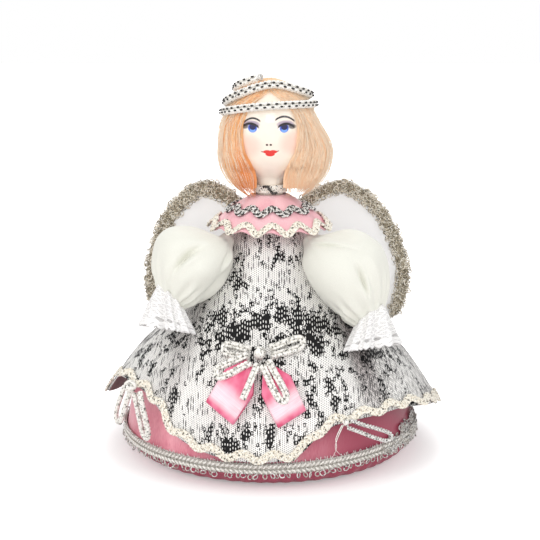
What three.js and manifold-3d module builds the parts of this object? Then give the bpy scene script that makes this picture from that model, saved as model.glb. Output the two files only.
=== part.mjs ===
// Dressed angel doll: a turned, painted head on a padded card body, clothed in satin and lame
// with braid, lace and cord bows, and a pair of folding wings on its back.
// Millimetres, +Z up, the face towards -Y. The origin is the middle of the underside.
// Left and right are the viewer's. Angles round the body start at the front and grow to the right.
import * as THREE from "three";
import { mergeVertices } from "three/addons/utils/BufferGeometryUtils.js";
import Module from "manifold-3d";

const wasm = await Module();
wasm.setup();

// Fits and sheet thicknesses
const FIT = 0.3; // gap between pieces that touch
const CLOTH = 0.7; // satin or lame with its lining
const CARD = 1.2;
const LACE = 0.5;
const PADDING_GAP = 0.9; // between a cloth and the soft piece under or over it

// Body: heights above the table and the radius of the padded figure there
const NECK_TOP_Z = 104.2;
const NECK_TOP_RADIUS = 6.3;
const WAIST_Z = 88;
const WAIST_RADIUS = 15;
const THIGH_Z = 60;
const THIGH_RADIUS = 33;
const KNEE_Z = 43;
const KNEE_RADIUS = 49;
const SHIN_Z = 28;
const SHIN_RADIUS = 56.5;
const SKIRT_Z = 9; // height of the widest line
const SKIRT_RADIUS = 60.5;
const TUCK_Z = 0.6; // where the satin turns in over the board
const BOARD_RADIUS = 50;
const BOARD_THICK = 2;
const CONE_FOOT_RADIUS = 44;
const CONE_TOP_RADIUS = 9;
const CONE_TOP_Z = 90;
const PLUG_DEPTH = 12; // neck plug inside the cone

// Galloon round the widest line
const GALLOON_WIDTH = 5;
const GALLOON_THICK = 1.7;

// Overdress
const DRESS_EASE = 1; // room between underskirt and overdress
const FLARE_POWER = 3; // how late the skirt of the overdress swings out
const FOLD_COUNT = 14;
const FOLD_DEPTH = 1.8;
// Hem of the overdress: angle in degrees, height and radius there. It is caught up at both sides.
const HEM = [
  [-180, 16, 69],
  [-120, 16, 70],
  [-90, 22, 68],
  [-72, 34.5, 64.5],
  [-57, 33.5, 62],
  [-44, 28.5, 62.5],
  [-36, 20.5, 63.5],
  [-26, 15.5, 63],
  [-13, 12.8, 62.8],
  [3, 12.8, 62.8],
  [10, 15, 62.8],
  [17, 22, 62.8],
  [24, 25.6, 62.8],
  [45, 28, 66],
  [57, 27, 68],
  [75, 22.5, 70],
  [90, 18.5, 70],
  [120, 16, 70],
  [180, 16, 69],
];

// Wavy braid on the hems: width, thickness, swing to each side and length of a wave
const BRAID_WIDTH = 3.4;
const BRAID_THICK = 1.1;
const BRAID_SWING = 1.5;
const BRAID_WAVE = 11.6;

// Cape
const CAPE_TOP_Z = 106.5;
const CAPE_HEM_Z = 93.4;
const CAPE_HEM_RADIUS = 24.5;
const CAPE_DOME = 1.2; // above 1 the cape is rounder
const CAPE_RIPPLE = 0.8;
const CAPE_RIPPLES = 13;
const CAPE_BRAID_SHARE = 0.52; // where the silver braid runs, from neck to hem

// Choker
const CHOKER_Z = 108.8;
const CHOKER_WIDTH = 3.4;
const CHOKER_THICK = 1.7;
const TWIST_RADIUS = 0.6;

// Head
const SPIGOT_RADIUS = 3;
const SPIGOT_LENGTH = 14;
const NECK_RADIUS = 5.4;
const CHIN_Z = 113;
const FACE_Z = 136; // widest part of the head
const FACE_RADIUS = 16;
const CROWN_Z = 152.6;

// Hair and the cord round it
const HAIR_RADIUS = 22;
const HAIR_HEM_Z = 107;
const HAIR_HEM_RADIUS = 13.4;
const HAIR_WIDE_SHARE = 0.386; // how far up from its hem the hair is widest
const HAIR_DEPTH = 1; // over the crown and under the cord
const HAIR_LEAN = 2.2; // by which the hair hangs fuller on the right
const HAIR_HOLLOW_RADIUS = 10.2;
const HAIR_HOLLOW_Z = 119;
const CIRCLET_RADIUS = 1.4;
// Height of the cord by turns, from the left over the front: it stands higher on the forehead.
const CIRCLET_CLIMB = [
  [0, 139.6],
  [0.25, 143.4],
  [0.5, 143],
  [0.75, 139.5],
  [1, 143.8],
  [1.25, 151.4],
  [1.5, 146.8],
  [1.75, 144.6],
  [2, 150.2],
  [2.12, 153.4],
];
const CIRCLET_KNOT_RADIUS = 1.3;

// Sleeves and cuffs. Heights are those of the dress under the shoulder, the wrist and the cuff's end.
const SHOULDER_Z = 86.5;
const SHOULDER_RADIUS = 3.5;
const PUFF_RADIUS = 14.5;
const PUFF_STRETCH = 1.05; // the puff is wider along the dress than away from it
const PUFF_BOW = 5; // by which the middle of the puff stands out from a straight sleeve
const WRIST_RADIUS = 5.5;
const CUFF_RADIUS = 11; // along the dress
const CUFF_DEPTH = 6.5; // away from it, from the middle
const CUFF_LEVEL = 0.7; // how far its mouth turns from square to the sleeve to level
const CUFF_FLUTES = 8;
const CUFF_FLUTE_DEPTH = 1.1;
const ARMS = {
  left: {
    angle: -60,
    wristZ: 58,
    wristLift: 13,
    cuffAngle: -54,
    cuffZ: 49.5,
    cuffLift: 7.5,
    cuffFacing: -28,
  },
  right: {
    angle: 54,
    wristZ: 53.3,
    wristLift: 9.5,
    cuffAngle: 45,
    cuffZ: 45,
    cuffLift: 7.5,
    cuffFacing: 26,
  },
};

// Wings: right outline, from the top of the root round to its foot, as distance out and height
const WING_OUTLINE = [
  [8, 96],
  [16, 103],
  [26, 108],
  [35, 107],
  [46, 98],
  [53, 86],
  [57, 72],
  [57.5, 60],
  [53, 48],
  [46, 52],
  [38, 66],
  [24, 76],
  [12, 82],
];
const WING_REACH = { left: 0.94, right: 1.06 }; // share of the distance out from the hinge
const MEMBRANE = 0.5;
const WIRE_RADIUS = 0.6;
const TINSEL_WIDTH = 6.5;
const TINSEL_THICK = 1.6;
const TINSEL_SHARE = 0.62; // of the outline, from its start to near the tip
const TAB_WIDTH = 17;
const TAB_TOP_Z = 90;
const TAB_WALL = 1; // felt round each wire
const WING_HINGE_X = 5.5;

// Bows. Places on the dress are [distance right, height].
const BOW_CORD_RADIUS = 1.15;
const LOOP_HALF_WIDTH = 1.5;
const RIBBON_WIDTH = 12;
const RIBBON_THICK = 0.5;
const RIBBON_RISE = 2; // from one layer of a ribbon loop to the other
const RIBBON_PINCH = 3.6; // width under the knot
const RIBBON_SPREAD = 0.35; // share of a loop by which it has its full width
const FRONT_KNOT = [-3.7, 49];
const FRONT_KNOT_RADIUS = 2.6;
const FRONT_RIBBONS = {
  front_bow_ribbon_left: { start: [-7.2, 45.6], tip: [-20.2, 30.4] },
  front_bow_ribbon_right: { start: [-1, 44.8], tip: [9.4, 28.6] },
};
const FRONT_LOOPS = {
  front_bow_loop_upper_left: { start: [-7.9, 49.4], tip: [-17.5, 50.4], lift: 1.6 },
  front_bow_loop_upper_right: { start: [0.5, 50], tip: [12.6, 53], lift: 1.6 },
  front_bow_loop_lower_left: { start: [-7.6, 46.6], tip: [-19.4, 41.4], lift: 4.7 },
  front_bow_loop_lower_right: { start: [-1.6, 45.4], tip: [5.3, 34], lift: 4.7 },
};
const FRONT_TAIL = { start: [-4.6, 45], tip: [-9.6, 34.6], lift: 4.7 };
const LEFT_CORD_RADIUS = 1.25;
const LEFT_KNOT_RADIUS = 2.6;
const LEFT_KNOT = { angle: -57, z: 34.4 };
// Loops of the side bows: start from the middle of the knot as [right, up], and place of the tip
const LEFT_LOOPS = [
  { start: [-2.9, -2], angle: -67, z: 17 },
  { start: [2.9, -2], angle: -48, z: 15.6 },
];
const LEFT_LOOP_HALF_WIDTH = 2;
const RIGHT_CORD_RADIUS = 0.9;
const RIGHT_KNOT_RADIUS = 1.3;
const RIGHT_KNOT = { angle: 26, z: 27 };
const RIGHT_LOOP = { start: [1.3, -0.7], angle: 43, z: 18 };
const RIGHT_LOOP_HALF_WIDTH = 1.6;

// Facets
const ROUND = 28; // sides of a turned piece
const SKIRT_COLUMNS = 32;
const SKIRT_ROWS = 10;
const DRESS_COLUMNS = 60;
const DRESS_ROWS = 8;
const CAPE_ROWS = 4;
const SLEEVE_COLUMNS = 18;
const SLEEVE_ROWS = 8;
const CUFF_ROWS = 3;
const COLUMNS_PER_FOLD = 3; // of a cape ripple
const COLUMNS_PER_FLUTE = 4; // of a cuff
const CORD_SIDES = 8;
const LOOP_STEPS = 14; // of a bow's cord loop
const RIM_STEPS = 36; // of a wing's edge

// Small tools
const radians = THREE.MathUtils.degToRad;
const lerp = THREE.MathUtils.lerp;
const polar = (radius, angle, z) =>
  new THREE.Vector3(radius * Math.sin(angle), -radius * Math.cos(angle), z);

// Smooth curve through [place, value] keys that stand in rising order of place.
function through(keys, place) {
  const spans = keys.length - 1;
  let span = 0;
  while (span < spans - 1 && place > keys[span + 1][0]) span += 1;
  const slope = (i) => {
    const before = keys[Math.max(i - 1, 0)];
    const after = keys[Math.min(i + 1, spans)];
    return (after[1] - before[1]) / (after[0] - before[0]);
  };
  const [x0, y0] = keys[span];
  const [x1, y1] = keys[span + 1];
  const width = x1 - x0;
  const t = (place - x0) / width;
  const rise = t * t * (3 - 2 * t);
  const enter = t * (1 - t) * (1 - t) * width * slope(span);
  const leave = t * t * (t - 1) * width * slope(span + 1);
  return y0 + (y1 - y0) * rise + enter + leave;
}

// Turns the faces of a closed geometry outwards.
function outward(geometry) {
  const place = geometry.attributes.position;
  const index = geometry.index.array;
  const corner = [0, 1, 2].map(() => new THREE.Vector3());
  let volume = 0;
  for (let i = 0; i < index.length; i += 3) {
    corner.forEach((point, j) => point.fromBufferAttribute(place, index[i + j]));
    volume += corner[0].dot(corner[1].cross(corner[2]));
  }
  if (volume < 0) index.reverse();
  return geometry;
}

function indexed(geometry) {
  geometry.deleteAttribute("normal");
  geometry.deleteAttribute("uv");
  return outward(mergeVertices(geometry, 1e-4));
}

// Closed body skinned over rings of points, joined end to end or closed by flat ends.
function loft(rings, isLoop) {
  const count = rings[0].length;
  const faces = [];
  const spans = isLoop ? rings.length : rings.length - 1;
  for (let i = 0; i < spans; i += 1) {
    const here = i * count;
    const next = ((i + 1) % rings.length) * count;
    for (let j = 0; j < count; j += 1) {
      const k = (j + 1) % count;
      faces.push(here + j, next + j, here + k, here + k, next + j, next + k);
    }
  }
  if (!isLoop) {
    const end = (rings.length - 1) * count;
    for (let j = 1; j < count - 1; j += 1) {
      faces.push(0, j, j + 1);
      faces.push(end, end + j + 1, end + j);
    }
  }
  const geometry = new THREE.BufferGeometry().setFromPoints(rings.flat());
  geometry.setIndex(faces);
  return outward(geometry);
}

// Point at a distance off a surface that is given by angle and share, top to bottom.
function off(surface, angle, share, lift) {
  const step = 1e-3;
  const around = surface(angle + step, share).sub(surface(angle - step, share));
  const down = surface(angle, share + step).sub(surface(angle, Math.max(share - step, 0)));
  return surface(angle, share).addScaledVector(down.cross(around).normalize(), lift);
}

// Cloth of an even thickness, closed round the body, whose outer face is the surface.
function clothRing(surface, columns, rows, thickness) {
  const rings = [];
  for (let i = 0; i < columns; i += 1) {
    const angle = (2 * Math.PI * i) / columns - Math.PI;
    const outer = [];
    const inner = [];
    for (let j = 0; j <= rows; j += 1) {
      outer.push(off(surface, angle, j / rows, 0));
      inner.unshift(off(surface, angle, j / rows, -thickness));
    }
    rings.push([...outer, ...inner]);
  }
  return loft(rings, true);
}

// Flat wavy braid laid round a surface at a share of it; slant is the surface's length downwards.
function wavyBraid(surface, share, slant, waves) {
  const stepsPerWave = 4;
  const steps = Math.round(waves) * stepsPerWave;
  const path = (i, lift) => {
    const angle = (2 * Math.PI * i) / steps - Math.PI;
    const swing = BRAID_SWING * Math.sin((2 * Math.PI * i) / stepsPerWave + Math.PI / 4);
    return off(surface, angle, share - swing / slant, lift);
  };
  const rings = [];
  for (let i = 0; i < steps; i += 1) {
    const bottom = path(i, FIT);
    const top = path(i, FIT + BRAID_THICK);
    const along = path(i + 0.5, FIT).sub(path(i - 0.5, FIT));
    const across = along.cross(top.clone().sub(bottom)).setLength(BRAID_WIDTH / 2);
    rings.push([
      bottom.clone().add(across),
      top.clone().add(across),
      top.clone().sub(across),
      bottom.clone().sub(across),
    ]);
  }
  return loft(rings, true);
}

// Turned body from [radius, height] points, from axis to axis or round to the first point.
function turned(profile, sides = ROUND) {
  const points = profile.map(([radius, z]) => new THREE.Vector2(radius, z));
  const geometry = new THREE.LatheGeometry(points, sides);
  geometry.rotateX(Math.PI / 2);
  return indexed(geometry);
}

// Cord along a curve.
function cord(curve, radius, steps, sides = CORD_SIDES) {
  const corners = [];
  for (let i = 0; i < sides; i += 1) {
    const angle = (2 * Math.PI * i) / sides;
    corners.push(new THREE.Vector2(radius * Math.cos(angle), radius * Math.sin(angle)));
  }
  const section = new THREE.Shape(corners);
  return indexed(
    new THREE.ExtrudeGeometry(section, { steps, extrudePath: curve, bevelEnabled: false }),
  );
}

function solid(geometry) {
  const vertProperties = new Float32Array(geometry.attributes.position.array);
  const triVerts = new Uint32Array(geometry.index.array);
  return new wasm.Manifold(new wasm.Mesh({ numProp: 3, vertProperties, triVerts }));
}

function meshed(manifold) {
  const { vertProperties, triVerts } = manifold.getMesh();
  const geometry = new THREE.BufferGeometry();
  geometry.setAttribute("position", new THREE.BufferAttribute(vertProperties, 3));
  geometry.setIndex(new THREE.BufferAttribute(triVerts, 1));
  return geometry;
}

// The object
const doll = new THREE.Group();
const head = new THREE.Group();
doll.add(head);

const FINISHES = {
  card: { color: 0xb9a383, roughness: 0.9, metalness: 0 },
  wadding: { color: 0xf2efe8, roughness: 1, metalness: 0 },
  wood: { color: 0xd9bd91, roughness: 0.7, metalness: 0 },
  painted: { color: 0xf6ece2, roughness: 0.25, metalness: 0 },
  satin: { color: 0xf2a9bd, roughness: 0.35, metalness: 0 },
  lame: { color: 0xcfcdd2, roughness: 0.35, metalness: 0.7 },
  silver: { color: 0xbdbbb8, roughness: 0.35, metalness: 0.8 },
  cream: { color: 0xf1e7d2, roughness: 0.6, metalness: 0 },
  crepe: { color: 0xf6f2ea, roughness: 0.8, metalness: 0 },
  hair: { color: 0xf0b183, roughness: 0.7, metalness: 0 },
  wire: { color: 0x9a9894, roughness: 0.35, metalness: 1 },
  felt: { color: 0xe9e4da, roughness: 0.95, metalness: 0 },
};

function piece(name, geometry, finish, parent = doll) {
  const mesh = new THREE.Mesh(geometry, new THREE.MeshStandardMaterial(FINISHES[finish]));
  mesh.name = name;
  parent.add(mesh);
}

// Padded body: board, card cone, wadding and neck plug
const BODY_KEYS = [
  [SKIRT_Z, SKIRT_RADIUS],
  [SHIN_Z, SHIN_RADIUS],
  [KNEE_Z, KNEE_RADIUS],
  [THIGH_Z, THIGH_RADIUS],
  [WAIST_Z, WAIST_RADIUS],
  [NECK_TOP_Z, NECK_TOP_RADIUS],
];
const bodyRadius = (z) => through(BODY_KEYS, z);
const CONE_FOOT_Z = BOARD_THICK + FIT;
const coneRadius = (z) =>
  lerp(CONE_FOOT_RADIUS, CONE_TOP_RADIUS, (z - CONE_FOOT_Z) / (CONE_TOP_Z - CONE_FOOT_Z));

const board = new THREE.CylinderGeometry(BOARD_RADIUS, BOARD_RADIUS, BOARD_THICK, ROUND);
board.rotateX(Math.PI / 2);
board.translate(0, 0, BOARD_THICK / 2);
piece("base_board", indexed(board), "card");

piece(
  "body_cone",
  turned([
    [CONE_FOOT_RADIUS, CONE_FOOT_Z],
    [CONE_TOP_RADIUS, CONE_TOP_Z],
    [CONE_TOP_RADIUS - CARD, CONE_TOP_Z],
    [CONE_FOOT_RADIUS - CARD, CONE_FOOT_Z],
    [CONE_FOOT_RADIUS, CONE_FOOT_Z],
  ]),
  "card",
);

const waddingFoot = CONE_FOOT_Z + FIT;
const waddingTop = WAIST_Z - FIT;
const tuckRadius = BOARD_RADIUS + FIT + CLOTH;
const paddingDepth = CLOTH + PADDING_GAP;
const waddingProfile = [
  [coneRadius(waddingFoot) + FIT, waddingFoot],
  [tuckRadius - paddingDepth, waddingFoot],
];
const waddingSteps = 8;
for (let i = 0; i <= waddingSteps; i += 1) {
  const z = lerp(SKIRT_Z, waddingTop, i / waddingSteps);
  waddingProfile.push([bodyRadius(z) - paddingDepth, z]);
}
waddingProfile.push([coneRadius(waddingTop) + FIT, waddingTop]);
waddingProfile.push(waddingProfile[0]);
piece("body_wadding", turned(waddingProfile, SKIRT_COLUMNS), "wadding");

const plugFootZ = CONE_TOP_Z - PLUG_DEPTH;
const plugFit = CARD + FIT;
const bustFootZ = CONE_TOP_Z + FIT;
const boreFootZ = NECK_TOP_Z - SPIGOT_LENGTH - FIT;
const bustRadius = (z) => bodyRadius(z) + DRESS_EASE - FIT;
piece(
  "neck_plug",
  turned([
    [0, plugFootZ],
    [coneRadius(plugFootZ) - plugFit, plugFootZ],
    [coneRadius(bustFootZ) - plugFit, bustFootZ],
    [bustRadius(bustFootZ), bustFootZ],
    [bustRadius((bustFootZ + NECK_TOP_Z) / 2), (bustFootZ + NECK_TOP_Z) / 2],
    [bustRadius(NECK_TOP_Z), NECK_TOP_Z],
    [SPIGOT_RADIUS + FIT, NECK_TOP_Z],
    [SPIGOT_RADIUS + FIT, boreFootZ],
    [0, boreFootZ],
  ]),
  "wood",
);

// Satin underskirt, drawn in under the board, and the galloon round its widest line
const TUCK_SHARE = 0.7; // the skirt turns in from here on
function skirtAt(angle, share) {
  if (share < TUCK_SHARE) {
    const z = lerp(WAIST_Z, SKIRT_Z, share / TUCK_SHARE);
    return polar(bodyRadius(z), angle, z);
  }
  const turn = ((share - TUCK_SHARE) / (1 - TUCK_SHARE)) * (Math.PI / 2);
  const radius = tuckRadius + (SKIRT_RADIUS - tuckRadius) * Math.cos(turn);
  return polar(radius, angle, SKIRT_Z - (SKIRT_Z - TUCK_Z) * Math.sin(turn));
}
piece("underskirt", clothRing(skirtAt, SKIRT_COLUMNS, SKIRT_ROWS, CLOTH), "satin");

const galloonInner = SKIRT_RADIUS + FIT;
const galloonOuter = galloonInner + GALLOON_THICK;
const galloonLow = SKIRT_Z - GALLOON_WIDTH / 2;
const galloonHigh = SKIRT_Z + GALLOON_WIDTH / 2;
const galloonEdge = GALLOON_THICK / 2;
const galloonProfile = [
  [galloonInner, galloonLow],
  [galloonOuter, galloonLow + galloonEdge],
  [galloonOuter, galloonHigh - galloonEdge],
  [galloonInner, galloonHigh],
  [galloonInner, galloonLow],
];
piece("underskirt_galloon", turned(galloonProfile, DRESS_COLUMNS), "silver");

// Lame overdress over the underskirt, flaring where its hem is caught up, with a wavy hem braid
const hemKeys = (column) => HEM.map((row) => [radians(row[0]), row[column]]);
const hemHeights = hemKeys(1);
const hemRadii = hemKeys(2);
const wrapped = (angle) => angle - 2 * Math.PI * Math.round(angle / (2 * Math.PI));
const hemHeight = (angle) => through(hemHeights, wrapped(angle));
const hemRadius = (angle) => through(hemRadii, wrapped(angle));
const dressTopZ = NECK_TOP_Z - FIT;
const dressBase = (z) => bodyRadius(z) + DRESS_EASE + CLOTH;
function dressRadius(angle, z) {
  const height = hemHeight(angle);
  const share = Math.max((dressTopZ - z) / (dressTopZ - height), 0);
  const flare = Math.max(hemRadius(angle) - dressBase(height), 0);
  const fold = FOLD_DEPTH * (1 - Math.cos(FOLD_COUNT * angle)) * (flare / SKIRT_RADIUS) * 2;
  return dressBase(z) + (flare + fold) * share ** FLARE_POWER;
}
const dressAt = (angle, share) => {
  const z = lerp(dressTopZ, hemHeight(angle), share);
  return polar(dressRadius(angle, z), angle, z);
};
piece("overdress", clothRing(dressAt, DRESS_COLUMNS, DRESS_ROWS, CLOTH), "lame");

const hemSlant = Math.hypot(SKIRT_RADIUS, dressTopZ - SKIRT_Z);
const hemInset = (BRAID_SWING + BRAID_WIDTH / 2) / hemSlant;
const hemRound = 2 * Math.PI * (SKIRT_RADIUS + DRESS_EASE);
piece(
  "overdress_hem_braid",
  wavyBraid(dressAt, 1 - hemInset, hemSlant, hemRound / BRAID_WAVE),
  "cream",
);

// Satin cape over the shoulders, with a silver braid half-way and a cream braid on its hem
const capeTopRadius = NECK_RADIUS + 2 * FIT + CLOTH;
function capeAt(angle, share) {
  const ripple = CAPE_RIPPLE * share * share * Math.cos(CAPE_RIPPLES * angle);
  const radius = lerp(capeTopRadius, CAPE_HEM_RADIUS, share);
  const drop = (CAPE_TOP_Z - CAPE_HEM_Z) * share ** CAPE_DOME;
  return polar(radius, angle, CAPE_TOP_Z - drop + ripple);
}
const capeColumns = COLUMNS_PER_FOLD * CAPE_RIPPLES;
piece("cape", clothRing(capeAt, capeColumns, CAPE_ROWS, CLOTH), "satin");
const capeSlant = Math.hypot(CAPE_HEM_RADIUS - capeTopRadius, CAPE_TOP_Z - CAPE_HEM_Z);
const capeHemInset = (BRAID_SWING + BRAID_WIDTH / 2) / capeSlant;
const capeRound = (share) => 2 * Math.PI * lerp(capeTopRadius, CAPE_HEM_RADIUS, share);
piece(
  "cape_silver_braid",
  wavyBraid(capeAt, CAPE_BRAID_SHARE, capeSlant, capeRound(CAPE_BRAID_SHARE) / BRAID_WAVE),
  "silver",
);
piece("cape_hem_braid", wavyBraid(capeAt, 1 - capeHemInset, capeSlant, CAPE_RIPPLES), "cream");

// Braid choker round the neck, with a twist of cord at the front
const chokerInner = NECK_RADIUS + FIT;
const chokerOuter = chokerInner + CHOKER_THICK;
const chokerLow = CHOKER_Z - CHOKER_WIDTH / 2;
const chokerHigh = CHOKER_Z + CHOKER_WIDTH / 2;
const chokerEdge = CHOKER_THICK / 3;
piece(
  "choker_braid",
  turned([
    [chokerInner, chokerLow],
    [chokerOuter - chokerEdge, chokerLow],
    [chokerOuter, chokerLow + chokerEdge],
    [chokerOuter, chokerHigh - chokerEdge],
    [chokerOuter - chokerEdge, chokerHigh],
    [chokerInner, chokerHigh],
    [chokerInner, chokerLow],
  ]),
  "silver",
);
const twistLift = chokerOuter + FIT + TWIST_RADIUS;
const twistPoints = [
  [-20, 1.2],
  [-8, 1.4],
  [0, 0],
  [8, -1.4],
  [20, -1.2],
].map(([angle, rise]) => polar(twistLift, radians(angle), CHOKER_Z + rise));
piece("choker_twist", cord(new THREE.CatmullRomCurve3(twistPoints), TWIST_RADIUS, 10), "silver");

// Turned head on a spigot that turns in the neck plug
const headFootZ = NECK_TOP_Z + FIT;
const faceRise = CROWN_Z - FACE_Z;
const HEAD_KEYS = [
  [CHIN_Z, NECK_RADIUS],
  [lerp(CHIN_Z, FACE_Z, 0.3), 0.73 * FACE_RADIUS],
  [lerp(CHIN_Z, FACE_Z, 0.65), 0.94 * FACE_RADIUS],
  [FACE_Z, FACE_RADIUS],
];
const headRadius = (z) => {
  if (z < CHIN_Z) return NECK_RADIUS;
  if (z < FACE_Z) return through(HEAD_KEYS, z);
  const rise = Math.min((z - FACE_Z) / faceRise, 1);
  return FACE_RADIUS * Math.sqrt(1 - rise * rise);
};
const headProfile = (gap) => {
  const profile = [[NECK_RADIUS + gap, headFootZ]];
  const jawSteps = 6;
  for (let i = 0; i <= jawSteps; i += 1) {
    const z = lerp(CHIN_Z, FACE_Z, i / jawSteps);
    profile.push([headRadius(z) + gap, z]);
  }
  const crownSteps = 5;
  for (let i = 1; i <= crownSteps; i += 1) {
    const turn = ((i / crownSteps) * Math.PI) / 2;
    const radius = (FACE_RADIUS + gap) * Math.cos(turn);
    profile.push([Math.max(radius, 0), FACE_Z + (faceRise + gap) * Math.sin(turn)]);
  }
  profile.at(-1)[0] = 0;
  return profile;
};
const spigotFootZ = NECK_TOP_Z - SPIGOT_LENGTH;
piece(
  "head",
  turned([
    [0, spigotFootZ],
    [SPIGOT_RADIUS, spigotFootZ],
    [SPIGOT_RADIUS, headFootZ],
    ...headProfile(0),
  ]),
  "painted",
  head,
);

// Mohair wig: a cap over the head, open at the face and hollow over the neck
const hairTopZ = CROWN_Z + HAIR_DEPTH;
const hairWideZ = lerp(HAIR_HEM_Z, hairTopZ, HAIR_WIDE_SHARE);
function hairRadius(z) {
  if (z < hairWideZ) {
    const drop = (hairWideZ - z) / (hairWideZ - HAIR_HEM_Z);
    return HAIR_RADIUS - (HAIR_RADIUS - HAIR_HEM_RADIUS) * drop ** 2.6;
  }
  const rise = Math.min((z - hairWideZ) / (hairTopZ - hairWideZ), 1);
  const least = headRadius(z) + FIT + HAIR_DEPTH;
  return Math.max(HAIR_RADIUS * Math.sqrt(1 - rise ** 1.3), least);
}
const hairProfile = [[0, HAIR_HEM_Z]];
const hairSteps = 14;
for (let i = 0; i <= hairSteps; i += 1) {
  const z = lerp(HAIR_HEM_Z, hairTopZ, Math.sin(((i / hairSteps) * Math.PI) / 2));
  hairProfile.push([hairRadius(z), z]);
}
hairProfile.at(-1)[0] = 0;
const hair = turned(hairProfile);
const leanTopZ = Math.min(...CIRCLET_CLIMB.map(([, z]) => z)) - 2 * CIRCLET_RADIUS;
const hairPlace = hair.attributes.position;
for (let i = 0; i < hairPlace.count; i += 1) {
  const fall = THREE.MathUtils.smoothstep(leanTopZ - hairPlace.getZ(i), 0, leanTopZ - hairWideZ);
  hairPlace.setX(i, hairPlace.getX(i) + HAIR_LEAN * fall);
}
// Face opening, as distance out and height, mirrored left and right
const FACE_OPENING = [
  [6, HAIR_HEM_Z - 1],
  [6, 114],
  [7.8, 119.5],
  [10.3, 124.5],
  [11.1, 130],
  [11, 136],
  [7.1, 143.5],
];
const FACE_OPENING_TOP_Z = 148.5;
const rightSide = FACE_OPENING.map(([x, z]) => new THREE.Vector2(x, z));
const leftSide = rightSide.map(({ x, y }) => new THREE.Vector2(-x, y)).reverse();
const openingShape = new THREE.Shape([
  ...rightSide,
  new THREE.Vector2(0, FACE_OPENING_TOP_Z),
  ...leftSide,
]);
const opening = new THREE.ExtrudeGeometry(openingShape, {
  depth: 2 * HAIR_RADIUS,
  bevelEnabled: false,
});
opening.rotateX(Math.PI / 2);
const hollow = turned([
  [0, HAIR_HEM_Z - 1],
  [HAIR_HOLLOW_RADIUS, HAIR_HEM_Z - 1],
  [HAIR_HOLLOW_RADIUS, HAIR_HOLLOW_Z],
  [0, HAIR_HOLLOW_Z],
]);
const hairSolid = solid(hair)
  .subtract(solid(turned([[0, headFootZ], ...headProfile(FIT)])))
  .subtract(solid(indexed(opening)))
  .subtract(solid(hollow));
piece("hair", meshed(hairSolid), "hair", head);

// Silver cord wound round the head, from the left over the front, and its knot on the crown
const circletTurns = CIRCLET_CLIMB.at(-1)[0];
class Winding extends THREE.Curve {
  getPoint(t, target = new THREE.Vector3()) {
    const turns = t * circletTurns;
    const z = through(CIRCLET_CLIMB, turns);
    const radius = hairRadius(z - CIRCLET_RADIUS) + CIRCLET_RADIUS + FIT;
    return target.copy(polar(radius, 2 * Math.PI * (turns - 0.25), z));
  }
}
const winding = new Winding();
const loopSteps = 24;
piece(
  "circlet_cord",
  cord(winding, CIRCLET_RADIUS, Math.round(loopSteps * circletTurns), 6),
  "silver",
  head,
);
const knot = new THREE.IcosahedronGeometry(CIRCLET_KNOT_RADIUS, 1);
const windingEnd = winding.getPoint(1);
const windingLead = windingEnd.clone().sub(winding.getPoint(0.99)).normalize();
const knotPlace = windingEnd.addScaledVector(windingLead, CIRCLET_KNOT_RADIUS + FIT);
knot.translate(...knotPlace);
piece("circlet_knot", indexed(knot), "silver", head);

// Least gap of the winding to itself, between points more than half a turn apart
const windingPoints = winding.getPoints(Math.round(loopSteps * circletTurns) * 3);
let leastGap = Infinity;
windingPoints.forEach((point, i) => {
  windingPoints.slice(i + loopSteps * 1.5).forEach((other) => {
    leastGap = Math.min(leastGap, point.distanceTo(other) - 2 * CIRCLET_RADIUS);
  });
});
console.log(`circlet_cord least gap to itself: ${leastGap.toFixed(2)} mm`);

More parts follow.
